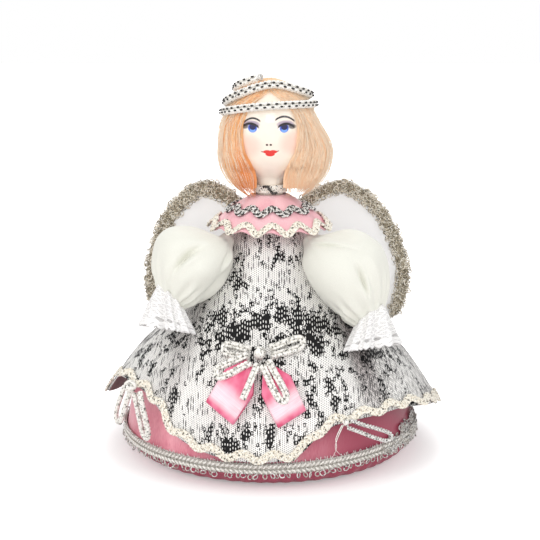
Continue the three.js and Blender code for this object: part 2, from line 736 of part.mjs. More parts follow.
// Stuffed crepe sleeves, sewn on at the shoulder, each with its wadding and a lace cuff
const dressDrop = (angle, drop) => {
  const z = dressTopZ - drop;
  return polar(dressRadius(angle, z), angle, z);
};
const offDress = (angle, z, lift) => off(dressDrop, angle, dressTopZ - z, lift);
function keptOff(point, gap) {
  const angle = Math.atan2(point.x, -point.y);
  const least = dressRadius(angle, point.z) + gap;
  const radius = Math.max(Math.hypot(point.x, point.y), least);
  return polar(radius, angle, point.z);
}
const SLEEVE_SLACK = 0.24; // share of the sleeve's section that its wadding leaves free
const SLEEVE_ENDS = 0.12; // share of the sleeve that is its rounded shoulder
const SHOULDER_MOUTH = 0.15; // share of the round that is left open for the wadding
const STUFFED_FROM = 0.22; // the wadding lies between these shares of the sleeve
const STUFFED_TO = 0.92;
const STUFFED_RINGS = 8;
for (const [side, arm] of Object.entries(ARMS)) {
  const angle = radians(arm.angle);
  const shoulder = offDress(angle, SHOULDER_Z, SHOULDER_RADIUS + PADDING_GAP);
  const wrist = offDress(angle, arm.wristZ, arm.wristLift);
  const length = shoulder.distanceTo(wrist);
  const along = wrist.clone().sub(shoulder).normalize();
  const sideways = polar(1, angle + Math.PI / 2, 0);
  const away = sideways.clone().cross(along).normalize();
  const sleeveKeys = [
    [0, SHOULDER_RADIUS],
    [0.2, 0.78 * PUFF_RADIUS],
    [0.5, PUFF_RADIUS],
    [0.8, 0.76 * PUFF_RADIUS],
    [1, WRIST_RADIUS],
  ];
  const section = (centre, out, aside, radius, turn, stretch) =>
    centre
      .clone()
      .addScaledVector(out, radius * Math.cos(turn))
      .addScaledVector(aside, -radius * stretch * Math.sin(turn));
  const sleeveAt = (turn, share) => {
    if (share < SLEEVE_ENDS) {
      const round = lerp(SHOULDER_MOUTH, 1, share / SLEEVE_ENDS) * (Math.PI / 2);
      const centre = shoulder.clone().addScaledVector(along, -SHOULDER_RADIUS * Math.cos(round));
      return section(centre, away, sideways, SHOULDER_RADIUS * Math.sin(round), turn, 1);
    }
    const reach = (share - SLEEVE_ENDS) / (1 - SLEEVE_ENDS);
    const puff = Math.sin(Math.PI * Math.min(reach, 1));
    const centre = shoulder
      .clone()
      .addScaledVector(along, reach * length)
      .addScaledVector(away, -PUFF_BOW * puff);
    const stretch = lerp(1, PUFF_STRETCH, puff);
    const radius = through(sleeveKeys, reach);
    return keptOff(section(centre, away, sideways, radius, turn, stretch), PADDING_GAP);
  };
  piece(`${side}_sleeve`, clothRing(sleeveAt, SLEEVE_COLUMNS, SLEEVE_ROWS, CLOTH), "crepe");
  const waddingRings = [];
  for (let i = 0; i < STUFFED_RINGS; i += 1) {
    const share = lerp(STUFFED_FROM, STUFFED_TO, i / (STUFFED_RINGS - 1));
    const ring = [];
    for (let j = 0; j < SLEEVE_COLUMNS; j += 1) {
      ring.push(sleeveAt((2 * Math.PI * j) / SLEEVE_COLUMNS, share));
    }
    const middle = ring.reduce((sum, point) => sum.add(point), new THREE.Vector3());
    middle.divideScalar(ring.length);
    waddingRings.push(ring.map((point) => point.lerp(middle, SLEEVE_SLACK)));
  }
  piece(`${side}_sleeve_wadding`, loft(waddingRings, false), "wadding");
  // The cuff turns from the sleeve's slant so that its mouth is nearly level and faces forwards.
  const cuffStart = wrist.clone().addScaledVector(along, FIT + LACE);
  const cuffEnd = offDress(radians(arm.cuffAngle), arm.cuffZ, arm.cuffLift);
  const cuffAt = (turn, share) => {
    const centre = cuffStart.clone().lerp(cuffEnd, share);
    const facing = lerp(angle, radians(arm.cuffFacing), share);
    const out = away.clone().lerp(polar(-1, facing, 0), CUFF_LEVEL * share).normalize();
    const aside = polar(1, facing + Math.PI / 2, 0);
    const flute = CUFF_FLUTE_DEPTH * share * Math.cos(CUFF_FLUTES * turn);
    const depth = lerp(WRIST_RADIUS, CUFF_DEPTH, share) + flute;
    const width = lerp(WRIST_RADIUS, CUFF_RADIUS, share) + flute;
    return keptOff(section(centre, out, aside, depth, turn, width / depth), PADDING_GAP);
  };
  const cuffColumns = COLUMNS_PER_FLUTE * CUFF_FLUTES;
  piece(`${side}_cuff`, clothRing(cuffAt, cuffColumns, CUFF_ROWS, LACE), "cream");
}

// Wings: felt tab behind the cape, and on each wire a membrane edged with tinsel
const tabFrontY = CAPE_HEM_RADIUS + BRAID_THICK + 3 * FIT;
const tabThick = 2 * (WIRE_RADIUS + FIT + TAB_WALL);
const hingeY = tabFrontY + tabThick / 2;
let tabFootZ = SKIRT_Z;
while (dressRadius(Math.PI, tabFootZ) > tabFrontY - FIT) tabFootZ += 0.05;
const tabShape = new THREE.Shape([
  new THREE.Vector2(-TAB_WIDTH / 2, tabFrontY),
  new THREE.Vector2(TAB_WIDTH / 2, tabFrontY),
  new THREE.Vector2(TAB_WIDTH / 2, tabFrontY + tabThick),
  new THREE.Vector2(-TAB_WIDTH / 2, tabFrontY + tabThick),
]);
for (const x of [-WING_HINGE_X, WING_HINGE_X]) {
  const channel = new THREE.Path();
  channel.absarc(x, hingeY, WIRE_RADIUS + FIT, 0, 2 * Math.PI, true);
  tabShape.holes.push(channel);
}
const tab = new THREE.ExtrudeGeometry(tabShape, {
  depth: TAB_TOP_Z - tabFootZ,
  bevelEnabled: false,
  curveSegments: 8,
});
tab.translate(0, 0, tabFootZ);
piece("back_tab", indexed(tab), "felt");

const membraneBackY = hingeY - WIRE_RADIUS - FIT;
const membraneFrontY = membraneBackY - MEMBRANE;
for (const [side, mirror] of [["left", -1], ["right", 1]]) {
  const outline = WING_OUTLINE.map(([x, z]) => {
    const out = lerp(WING_HINGE_X, x, WING_REACH[side]);
    return new THREE.Vector3(mirror * out, 0, z);
  });
  const edge = new THREE.CatmullRomCurve3(outline);
  const rim = edge.getPoints(RIM_STEPS);
  const membraneShape = new THREE.Shape(rim.map((point) => new THREE.Vector2(point.x, point.z)));
  const membrane = new THREE.ExtrudeGeometry(membraneShape, {
    depth: MEMBRANE,
    bevelEnabled: false,
  });
  membrane.rotateX(Math.PI / 2);
  membrane.translate(0, membraneBackY, 0);
  piece(`${side}_wing_membrane`, indexed(membrane), "crepe");

  const tinselRings = rim.slice(0, TINSEL_SHARE * rim.length).map((point, i) => {
    const ahead = edge.getTangent(i / (rim.length - 1));
    const inwards = new THREE.Vector3(ahead.z, 0, -ahead.x).multiplyScalar(mirror);
    const backY = membraneFrontY - FIT;
    const corner = (depth, y) => point.clone().addScaledVector(inwards, depth).setY(y);
    return [
      corner(0, backY),
      corner(0, backY - TINSEL_THICK),
      corner(TINSEL_WIDTH, backY - TINSEL_THICK),
      corner(TINSEL_WIDTH, backY),
    ];
  });
  piece(`${side}_wing_tinsel`, loft(tinselRings, false), "silver");

  const legX = mirror * WING_HINGE_X;
  const legMiddle = (TAB_TOP_Z + tabFootZ) / 2;
  const legPoints = [tabFootZ + FIT, legMiddle, TAB_TOP_Z - 1, TAB_TOP_Z + 1];
  const inset = 2 * WIRE_RADIUS;
  const wirePoints = outline.map((point, i) => {
    const ahead = edge.getTangent(i / (outline.length - 1));
    const inwards = new THREE.Vector3(ahead.z, 0, -ahead.x).multiplyScalar(mirror);
    return point.clone().setY(hingeY).addScaledVector(inwards, inset);
  });
  const wire = new THREE.CatmullRomCurve3([
    ...legPoints.map((z) => new THREE.Vector3(legX, hingeY, z)),
    ...wirePoints,
  ]);
  piece(`${side}_wing_wire`, cord(wire, WIRE_RADIUS, RIM_STEPS, 5), "wire");
}

// Front bow: two satin ribbon loops under cord loops, a tail and a knot
function onDress([x, z], lift) {
  let angle = 0;
  for (let pass = 0; pass < 8; pass += 1) angle = Math.asin(x / dressRadius(angle, z));
  return offDress(angle, z, lift);
}
function ribbonLoop({ start, tip }) {
  const from = new THREE.Vector2(...start);
  const to = new THREE.Vector2(...tip);
  const length = from.distanceTo(to);
  const ahead = to.clone().sub(from).normalize();
  const aside = new THREE.Vector2(-ahead.y, ahead.x);
  const bottom = PADDING_GAP + RIBBON_THICK / 2;
  const turnRadius = RIBBON_RISE / 2;
  const straight = length - turnRadius;
  const route = [];
  for (const share of [0, 0.25, 0.5, 0.75]) route.push([share * straight, -90]);
  for (let turn = -90; turn <= 90; turn += 30) route.push([straight, turn]);
  for (const share of [0.75, 0.5, 0.25, 0]) route.push([share * straight, 90]);
  const rings = route.map(([distance, turn]) => {
    const spread = Math.min(distance / (RIBBON_SPREAD * length), 1);
    const width = lerp(RIBBON_PINCH, RIBBON_WIDTH, spread);
    const normal = radians(turn);
    const corner = (side, depth) => {
      const reach = turnRadius + depth * (RIBBON_THICK / 2);
      const out = distance + reach * Math.cos(normal);
      const place = from
        .clone()
        .addScaledVector(ahead, out)
        .addScaledVector(aside, (side * width) / 2);
      return onDress([place.x, place.y], bottom + turnRadius + reach * Math.sin(normal));
    };
    return [corner(-1, -1), corner(1, -1), corner(1, 1), corner(-1, 1)];
  });
  return loft(rings, false);
}
for (const [name, ribbon] of Object.entries(FRONT_RIBBONS)) {
  piece(name, ribbonLoop(ribbon), "satin");
}

// Places along a hanging loop of cord, out on one side and back on the other
function loopPlaces(start, tip, halfWidth) {
  const from = new THREE.Vector2(...start);
  const to = new THREE.Vector2(...tip);
  const aside = new THREE.Vector2(from.y - to.y, to.x - from.x).normalize();
  const route = [
    [0, -0.9],
    [0.3, -0.95],
    [0.6, -1.1],
    [0.9, -0.95],
    [1, 0],
    [0.9, 0.95],
    [0.6, 1.1],
    [0.3, 0.95],
    [0, 0.9],
  ];
  return route.map(([share, swing]) =>
    from.clone().lerp(to, share).addScaledVector(aside, swing * halfWidth),
  );
}
for (const [name, { start, tip, lift }] of Object.entries(FRONT_LOOPS)) {
  const places = loopPlaces(start, tip, LOOP_HALF_WIDTH);
  const curve = new THREE.CatmullRomCurve3(places.map(({ x, y }) => onDress([x, y], lift)));
  piece(name, cord(curve, BOW_CORD_RADIUS, LOOP_STEPS), "silver");
}
const tailPoints = [0, 0.5, 1].map((share) => {
  const x = lerp(FRONT_TAIL.start[0], FRONT_TAIL.tip[0], share);
  const z = lerp(FRONT_TAIL.start[1], FRONT_TAIL.tip[1], share);
  return onDress([x, z], FRONT_TAIL.lift);
});
const tailCurve = new THREE.CatmullRomCurve3(tailPoints);
piece("front_bow_tail", cord(tailCurve, BOW_CORD_RADIUS, LOOP_STEPS / 2), "silver");

function knotAt(name, centre, radius) {
  const ball = new THREE.IcosahedronGeometry(radius, 1);
  ball.translate(...centre);
  piece(name, indexed(ball), "silver");
}
knotAt("front_bow_knot", onDress(FRONT_KNOT, FRONT_KNOT_RADIUS + FIT), FRONT_KNOT_RADIUS);

// Side bows: cord loops that hang from the caught-up hem over the satin
function sidePoint(angle, z, radius) {
  const under = Math.max(dressRadius(angle, Math.max(z, hemHeight(angle))), bodyRadius(z));
  return polar(under + BRAID_THICK + 2 * FIT + radius, angle, z);
}
function sideLoop(name, knot, loop, halfWidth, radius) {
  const start = [radians(knot.angle) * SKIRT_RADIUS + loop.start[0], knot.z + loop.start[1]];
  const tip = [radians(loop.angle) * SKIRT_RADIUS, loop.z];
  const points = loopPlaces(start, tip, halfWidth).map(({ x, y }) =>
    sidePoint(x / SKIRT_RADIUS, y, radius),
  );
  piece(name, cord(new THREE.CatmullRomCurve3(points), radius, LOOP_STEPS), "silver");
}
function sideKnot(name, knot, radius) {
  knotAt(name, sidePoint(radians(knot.angle), knot.z, radius), radius);
}
LEFT_LOOPS.forEach((loop, i) => {
  sideLoop(`left_bow_loop_${i + 1}`, LEFT_KNOT, loop, LEFT_LOOP_HALF_WIDTH, LEFT_CORD_RADIUS);
});
sideLoop("right_bow_loop", RIGHT_KNOT, RIGHT_LOOP, RIGHT_LOOP_HALF_WIDTH, RIGHT_CORD_RADIUS);
sideKnot("left_bow_knot", LEFT_KNOT, LEFT_KNOT_RADIUS);
sideKnot("right_bow_knot", RIGHT_KNOT, RIGHT_KNOT_RADIUS);

export default doll;
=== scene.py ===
import math
import random
from functools import partial

import bpy
from mathutils import Matrix, Vector


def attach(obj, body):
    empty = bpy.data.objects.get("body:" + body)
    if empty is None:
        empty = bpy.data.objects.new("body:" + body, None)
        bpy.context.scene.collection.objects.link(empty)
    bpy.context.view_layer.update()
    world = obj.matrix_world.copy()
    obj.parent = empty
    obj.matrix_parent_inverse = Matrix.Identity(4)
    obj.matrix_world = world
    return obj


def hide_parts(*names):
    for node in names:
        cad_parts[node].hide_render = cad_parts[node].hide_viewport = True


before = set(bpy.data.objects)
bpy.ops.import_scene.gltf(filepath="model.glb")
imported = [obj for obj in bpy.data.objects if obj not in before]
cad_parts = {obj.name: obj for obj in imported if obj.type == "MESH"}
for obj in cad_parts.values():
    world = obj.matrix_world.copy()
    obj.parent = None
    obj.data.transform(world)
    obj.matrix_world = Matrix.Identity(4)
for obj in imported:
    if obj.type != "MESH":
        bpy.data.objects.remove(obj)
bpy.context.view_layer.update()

# The doll stands on a white table in a white room, under soft lamps in front, behind and at both
# sides. The camera is half a metre away and looks down a little.
MM = 0.001
CAMERA_PLACE = (0, -0.52, 0.1794)
CAMERA_PITCH = math.radians(11.45)
CAMERA_LENS = 84.8
ROOM_LIGHT = 0.78
TABLE_GLOW = (60.0, 105.0)
LAMP_TARGET = Vector((0, 0, 0.07))
LAMPS = {
    "lamp on the left": ((-0.62, -0.55, 0.62), 0.5, 2.0, (1.0, 0.99, 0.97)),
    "lamp on the right": ((0.66, -0.45, 0.55), 0.5, 1.2, (0.98, 0.99, 1.0)),
    "lamp in front": ((0.0, -0.9, 0.35), 0.4, 1.5, (1, 1, 1)),
    "lamp behind": ((0.0, 0.6, 0.7), 0.5, 1.3, (1, 1, 1)),
}


class Value:
    """A number or colour on a surface; sums with it become nodes of its finish."""

    def __init__(self, finish, socket):
        self.finish = finish
        self.socket = socket

    def __add__(self, other):
        return self.finish.maths("ADD", self, other)

    def __sub__(self, other):
        return self.finish.maths("SUBTRACT", self, other)

    def __rsub__(self, other):
        return self.finish.maths("SUBTRACT", other, self)

    def __mul__(self, other):
        return self.finish.maths("MULTIPLY", self, other)

    def __truediv__(self, other):
        return self.finish.maths("DIVIDE", self, other)

    def __pow__(self, power):
        return self.finish.maths("POWER", self, power)

    def __abs__(self):
        return self.finish.maths("ABSOLUTE", self)

    __radd__ = __add__
    __rmul__ = __mul__


def assign(target, settings):
    for name, value in settings.items():
        setattr(target, name, value)


class Finish:
    """The node tree of a material or of the room, with short ways to add to it."""

    def __init__(self, tree):
        self.tree = tree
        self.shader = tree.nodes.get("Principled BSDF")

    def node(self, kind, settings=None, inputs=None, output=0):
        made = self.tree.nodes.new(kind)
        assign(made, settings or {})
        self.feed(made, inputs or {})
        return Value(self, made.outputs[output])

    def feed(self, made, inputs):
        for name, value in inputs.items():
            if isinstance(value, Value):
                self.tree.links.new(value.socket, made.inputs[name])
            else:
                made.inputs[name].default_value = value

    def maths(self, operation, *values):
        return self.node("ShaderNodeMath", {"operation": operation}, dict(enumerate(values)))

    def step(self, value, low, high):
        """0 below low, 1 above high and a soft change between."""
        settings = {"clamp": True, "interpolation_type": "SMOOTHSTEP"}
        return self.node("ShaderNodeMapRange", settings, {0: value, 1: low, 2: high})

    def mix(self, share, first, second):
        return self.node("ShaderNodeMix", {"data_type": "RGBA"}, {0: share, 6: first, 7: second}, 2)

    def place(self):
        """Where a point is, in millimetres."""
        where = self.node("ShaderNodeTexCoord", output=3)
        return [
            self.node("ShaderNodeSeparateXYZ", None, {0: where}, axis) * (1 / MM)
            for axis in range(3)
        ]

    def cut(self):
        """Where a point is on its flat piece of cloth, from 0 to 1 each way."""
        where = self.node("ShaderNodeTexCoord", output=2)
        return [self.node("ShaderNodeSeparateXYZ", None, {0: where}, axis) for axis in range(2)]

    def cloudy(self, x, y, z, detail=2.0):
        """Soft cloudy numbers round 0.5, one cloud a unit across."""
        where = self.node("ShaderNodeCombineXYZ", None, {0: x, 1: y, 2: z})
        return self.node("ShaderNodeTexNoise", None, {"Vector": where, "Scale": 1.0, "Detail": detail})

    def relief(self, height, depth):
        """Normal of a surface that rises by height times depth millimetres."""
        return self.node("ShaderNodeBump", None, {"Distance": depth * MM, "Height": height})

    def done(self, **inputs):
        """Sets or joins inputs of the shader and gives the material."""
        self.feed(self.shader, {name.replace("_", " "): value for name, value in inputs.items()})
        return self.material


def ink(*levels):
    """A colour from its 0 to 255 levels on a screen."""
    shares = [level / 255 for level in levels]
    return (*[((s + 0.055) / 1.055) ** 2.4 if s > 0.04 else s / 12.92 for s in shares], 1.0)


def new_finish(name, **constants):
    material = bpy.data.materials.new(name)
    material.use_nodes = True
    finish = Finish(material.node_tree)
    finish.material = material
    finish.done(**constants)
    return finish


scene = bpy.context.scene
scene.view_settings.view_transform = "Standard"
bpy.ops.object.select_all(action="DESELECT")
bpy.ops.object.camera_add(location=CAMERA_PLACE, rotation=(math.pi / 2 - CAMERA_PITCH, 0, 0))
scene.camera = bpy.context.object
scene.camera.data.lens = CAMERA_LENS
scene.camera.data.clip_start = 0.01

room = bpy.data.worlds.new("white room")
room.use_nodes = True
scene.world = room
air = Finish(room.node_tree)
rays = room.node_tree.nodes.new("ShaderNodeLightPath")
seen = 0
for kind in ("Camera", "Glossy", "Transmission"):
    seen = air.maths("MAXIMUM", seen, Value(air, rays.outputs[f"Is {kind} Ray"]))
strength = ROOM_LIGHT + (1 - ROOM_LIGHT) * seen
air.feed(room.node_tree.nodes["Background"], {"Color": (1, 1, 1, 1), "Strength": strength})

bpy.ops.mesh.primitive_plane_add(size=8, location=(0, 0, 0))
table = bpy.context.object
table.name = "table"
board = new_finish("white table", Base_Color=ink(236, 233, 233), Roughness=0.8, Emission_Strength=1.0)
looked_at = board.node("ShaderNodeLightPath")
away_x, away_y, _ = board.place()
far = board.step(board.maths("SQRT", away_x * away_x + away_y * away_y), *TABLE_GLOW)
glow = looked_at * (0.3 + 0.7 * far)
table.data.materials.append(board.done(Emission_Color=board.mix(glow, (0, 0, 0, 1), (1, 1, 1, 1))))

for name, (place, width, power, tint) in LAMPS.items():
    bpy.ops.object.light_add(type="AREA", location=place)
    lamp = bpy.context.object
    lamp.name = name
    lamp.data.size = width
    lamp.data.energy = power
    lamp.data.color = tint
    lamp.rotation_euler = (LAMP_TARGET - lamp.location).to_track_quat("-Z", "Y").to_euler()

# A card cone with wadding wound round it stands on a card disc and makes the body. A turned wooden
# plug glued into the top of the cone takes the peg of the head.


def plain_finish(name, light, dark, grain, roughness):
    """A matt stuff that is a little uneven in colour; light and dark are screen levels."""
    finish = new_finish(name, Roughness=roughness)
    x, y, z = [axis / grain for axis in finish.place()]
    cloud = finish.cloudy(x, y, z, 4.0)
    colour = finish.mix(cloud, ink(*dark), ink(*light))
    return finish.done(Base_Color=colour, Normal=finish.relief(cloud, 0.15))


def paint_node(name, material):
    """Gives a piece that keeps its first shape its finish."""
    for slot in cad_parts[name].material_slots:
        slot.material = material


card = plain_finish("grey card", (196, 186, 170), (168, 156, 138), 0.6, 0.85)
paint_node("base_board", card)
paint_node("body_cone", card)
paint_node("body_wadding", plain_finish("wadding", (240, 238, 232), (214, 210, 202), 1.5, 0.95))
paint_node("neck_plug", plain_finish("turned wood", (206, 172, 128), (172, 132, 88), 1.2, 0.6))

# The underskirt is pink satin drawn smooth over the wadding and gathered in under the edge of the
# board, where small pleats form. It is glued to the body at the waist.
TUCK_TOP_Z = 9.0
TUCK_RADIUS = 51.0
TUCK_FALL = 8.4
SKIRT_TOP_Z = 88.0
SKIRT_FLAT_SHARE = 0.7
SKIRT_RADIUS = 60.5
BODY_OUTLINE = [(9, 60.5), (28, 56.5), (43, 49), (60, 33), (88, 15), (104.2, 6.3)]
TUCK_PLEATS = 58
SATIN_THICK = 0.5
SKIRT_SAG = 0.35
PLEAT_DEPTH = 0.5


def through(keys, place):
    """Smooth line through keys of place and value."""

    def slope(i):
        low, high = max(i - 1, 0), min(i + 1, len(keys) - 1)
        return (keys[high][1] - keys[low][1]) / (keys[high][0] - keys[low][0])

    if place <= keys[0][0]:
        return keys[0][1]
    for i in range(len(keys) - 1):
        (start, first), (end, last) = keys[i], keys[i + 1]
        if place <= end:
            width = end - start
            t = (place - start) / width
            return (
                first * (2 * t**3 - 3 * t**2 + 1)
                + last * (3 * t**2 - 2 * t**3)
                + width * slope(i) * (t**3 - 2 * t**2 + t)
                + width * slope(i + 1) * (t**3 - t**2)
            )
    return keys[-1][1]


def lerp(first, last, share):
    return first + (last - first) * share


def polar(radius, angle, z):
    """A point at an angle from the front, which grows to the right."""
    return Vector((radius * math.sin(angle), -radius * math.cos(angle), z))


def body_radius(z):
    return through(BODY_OUTLINE, z)


def activate(piece):
    bpy.ops.object.select_all(action="DESELECT")
    piece.select_set(True)
    bpy.context.view_layer.objects.active = piece


def cloth(name, columns, rows, place, *materials, is_ring=True):
    """A grid of cloth whose points go where place(across, down) says, in millimetres."""
    bpy.ops.object.select_all(action="DESELECT")
    bpy.ops.mesh.primitive_grid_add(x_subdivisions=columns, y_subdivisions=rows, size=1)
    piece = bpy.context.object
    piece.name = piece.data.name = name
    for vertex in piece.data.vertices:
        vertex.co = place(vertex.co.x + 0.5, 0.5 - vertex.co.y) * MM
    if is_ring:
        bpy.ops.object.mode_set(mode="EDIT")
        bpy.ops.mesh.select_all(action="SELECT")
        bpy.ops.mesh.remove_doubles(threshold=2e-6)
        bpy.ops.object.mode_set(mode="OBJECT")
    bpy.ops.object.shade_smooth()
    for material in materials:
        piece.data.materials.append(material)
    return piece


def all_round(surface):
    """Places of cloth round a surface, given by an angle and a share; the seam is at the back."""
    return lambda across, down: surface((across - 0.5) * math.tau, down)


def modify(piece, kind, **settings):
    """Gives a piece a modifier with these settings and applies it."""
    activate(piece)
    made = piece.modifiers.new(kind, kind)
    assign(made, settings)
    bpy.ops.object.modifier_apply(modifier=made.name)


def thicken(piece, thickness, inside=0):
    """Gives cloth its thickness inwards; inside is the slot of the other face's finish."""
    modify(piece, "SOLIDIFY", thickness=thickness * MM, offset=-1, material_offset=inside)


def belongs(piece, body, slot, *nodes):
    """Fixes a piece to its body and hides the parts it stands for."""
    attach(piece, body)
    if nodes:
        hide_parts(*nodes)


def satin(name, lit, deep, shaded_colour):
    """Shiny cloth with fine upright threads, with painted shade on the right and at its foot; colours are
    screen levels.
    """
    finish = new_finish(name, Roughness=0.34, Sheen_Weight=0.15, Sheen_Roughness=0.3)
    x, y, z = finish.place()
    thread = finish.cloudy(x * 2.4, y * 2.4, z * 0.25, 3.0)
    broad = finish.cloudy(x * 0.09, y * 0.09, z * 0.05)
    tone = finish.step(thread * 0.35 + broad * 0.65, 0.32, 0.68)
    # Painted shade: the colour turns to the shaded colour on the right and at the foot under the gimp,
    # where the satin lies in shadow.
    painted_shade = finish.maths("MAXIMUM", finish.step(x, -10.0, 40.0), finish.step(z, 9.0, 6.0))
    colour = finish.mix(painted_shade, finish.mix(tone, ink(*deep), ink(*lit)), ink(*shaded_colour))
    return finish.done(Base_Color=colour, Normal=finish.relief(thread, 0.05))


def skirt_at(angle, down):
    if down < SKIRT_FLAT_SHARE:
        z = lerp(SKIRT_TOP_Z, TUCK_TOP_Z, down / SKIRT_FLAT_SHARE)
        sag = SKIRT_SAG * math.sin(9 * angle + z * 0.08) * math.sin(math.pi * down / SKIRT_FLAT_SHARE)
        return polar(body_radius(z) + sag, angle, z)
    turn = (down - SKIRT_FLAT_SHARE) / (1 - SKIRT_FLAT_SHARE) * math.pi / 2
    pleat = PLEAT_DEPTH * math.sin(TUCK_PLEATS * angle + 1.5 * math.sin(7 * angle))
    pleat *= math.sin(turn) * max(math.cos(turn), 0.0) * 2
    radius = TUCK_RADIUS + (SKIRT_RADIUS - TUCK_RADIUS) * math.cos(turn) + pleat
    return polar(radius, angle, TUCK_TOP_Z - TUCK_FALL * math.sin(turn))


# The last colour is the painted shade on the right and under the gimp.
pink_satin = satin("pink satin", (244, 170, 182), (214, 116, 136), (168, 70, 92))
skirt = cloth("satin_underskirt", 290, 70, all_round(skirt_at), pink_satin)
thicken(skirt, SATIN_THICK)
belongs(skirt, "figure", "satin", "underskirt")

# A wide silver gimp is sewn round the foot of the underskirt: two rows of slanting stitches on a
# narrow tape, with loose ends along the top and loops of tinsel below. It is frayed on the right.
GIMP_RADIUS = 60.9
GIMP_LOW_Z = 6.5
GIMP_HIGH_Z = 11.5
GIMP_STITCHES = 420
GIMP_LOOPS = 150
FRAYED_DEGREES = (46, 92)
FRAY_LOOPS = 190
FRAY_RISE = 7.0
GIMP_TICKS = 330
GIMP_ROW_OFFSET = 1.05
GIMP_SLANT = 0.75
GIMP_STITCH_LIFT = 0.75
GIMP_TICK_LIFT = 0.8
GIMP_LOOP_LIFT = 0.9
TAPE_INSET = 0.4
TAPE_LIFT = 0.2
TAPE_THICK = 0.4
GIMP_RISE = 1.6
GIMP_RISE_ANGLE = math.radians(54)
GIMP_RISE_SPREAD = math.radians(38)


def repeated(name, model, places, material):
    """Copies of a small model in many places, joined to one piece."""
    corners = [vertex.co.copy() for vertex in model.data.vertices]
    faces = [list(face.vertices) for face in model.data.polygons]
    points, sides = [], []
    for place in places:
        first = len(points)
        points += [place @ corner for corner in corners]
        sides += [[first + i for i in face] for face in faces]
    mesh = bpy.data.meshes.new(name)
    mesh.from_pydata(points, [], sides)
    mesh.polygons.foreach_set("use_smooth", [True] * len(sides))
    mesh.materials.append(material)
    bpy.data.objects.remove(model)
    piece = bpy.data.objects.new(name, mesh)
    bpy.context.collection.objects.link(piece)
    return piece


def join(first, *others):
    activate(first)
    for other in others:
        other.select_set(True)
    bpy.ops.object.join()
    return first


def stitch_model(length, width, thick):
    """A plump stitch along X, standing on Y."""
    bpy.ops.object.select_all(action="DESELECT")
    bpy.ops.mesh.primitive_ico_sphere_add(subdivisions=1, radius=MM / 2)
    bpy.ops.transform.resize(value=(length, thick, width))
    bpy.ops.object.transform_apply(location=False, rotation=False, scale=True)
    return bpy.context.object


def loop_model(radius, thick):
    """A small ring of tinsel, seen round along Y."""
    bpy.ops.object.select_all(action="DESELECT")
    bpy.ops.mesh.primitive_torus_add(
        major_radius=radius * MM,
        minor_radius=thick * MM,
        major_segments=9,
        minor_segments=3,
        rotation=(math.pi / 2, 0, 0),
    )
    bpy.ops.object.transform_apply(location=False, rotation=True, scale=False)
    return bpy.context.object


def placed(point, turn, *tilts):
    """A place in millimetres turned about Z, then tilted about named axes."""
    made = Matrix.Translation(point * MM) @ Matrix.Rotation(turn, 4, "Z")
    for tilt, axis in tilts:
        made = made @ Matrix.Rotation(tilt, 4, axis)
    return made


def yarn_finish(name, light, dark, fleck, fleck_share, metallic):
    """Yarn with dark flecks, some of it wound with foil; its colours are screen levels."""
    finish = new_finish(name, Metallic=metallic, Roughness=0.38)
    x, y, z = finish.place()
    grain = finish.cloudy(x * 2.1, y * 2.1, z * 2.1, 3.0)
    spots = finish.cloudy(x * 1.5 + 40, y * 1.5, z * 1.5, 1.0)
    body = finish.mix(finish.step(grain, 0.36, 0.62), ink(*dark), ink(*light))
    dark_spots = finish.step(spots, 1 - fleck_share, 1.04 - fleck_share)
    colour = finish.mix(dark_spots, body, ink(*fleck))
    return finish.done(Base_Color=colour, Normal=finish.relief(grain, 0.08))


silver_yarn = yarn_finish("silver yarn", (250, 249, 246), (196, 193, 188), (40, 38, 38), 0.4, 0.2)
gimp_yarn = yarn_finish("gimp yarn", (255, 253, 248), (220, 216, 209), (90, 86, 80), 0.28, 0.05)
gimp_dark_yarn = yarn_finish("dark gimp yarn", (222, 218, 210), (172, 166, 158), (92, 86, 80), 0.34, 0.1)


def gimp_rise(angle):
    """How much higher the gimp sits on the right, where the skirt is caught up."""
    off = (angle - GIMP_RISE_ANGLE + math.pi) % math.tau - math.pi
    return GIMP_RISE * math.exp(-((off / GIMP_RISE_SPREAD) ** 2))


def tape_at(angle, down):
    z = lerp(GIMP_HIGH_Z - TAPE_INSET, GIMP_LOW_Z + TAPE_INSET, down)
    return polar(GIMP_RADIUS + TAPE_LIFT, angle, z + gimp_rise(angle))


tape = cloth("gimp_tape", 180, 4, all_round(tape_at), gimp_dark_yarn)
thicken(tape, TAPE_THICK)
stitches = []
for row in (1, -1):
    for i in range(GIMP_STITCHES):
        angle = math.tau * i / GIMP_STITCHES
        z = (GIMP_LOW_Z + GIMP_HIGH_Z) / 2 + row * GIMP_ROW_OFFSET + gimp_rise(angle)
        spot = polar(GIMP_RADIUS + GIMP_STITCH_LIFT, angle, z)
        stitches.append(placed(spot, angle, (-row * GIMP_SLANT, "Y")))
dice = random.Random(5)
ticks = []
for i in range(GIMP_TICKS):
    angle = math.tau * (i + dice.uniform(-0.4, 0.4)) / GIMP_TICKS
    z = GIMP_HIGH_Z + gimp_rise(angle) + dice.uniform(-0.4, 0.5)
    spot = polar(GIMP_RADIUS + GIMP_TICK_LIFT, angle, z)
    ticks.append(placed(spot, angle, (dice.uniform(-0.5, 0.5), "X"), (dice.uniform(1.0, 2.1), "Y")))
loops = []
for i in range(GIMP_LOOPS):
    angle = math.tau * (i + dice.uniform(-0.5, 0.5)) / GIMP_LOOPS
    z = GIMP_LOW_Z + gimp_rise(angle) + dice.uniform(-0.6, 0.4)
    spot = polar(GIMP_RADIUS + GIMP_LOOP_LIFT, angle, z)
    tilts = ((dice.uniform(-0.6, 0.6), "X"), (dice.uniform(-1.1, 1.1), "Z"))
    loops.append(placed(spot, angle, *tilts))
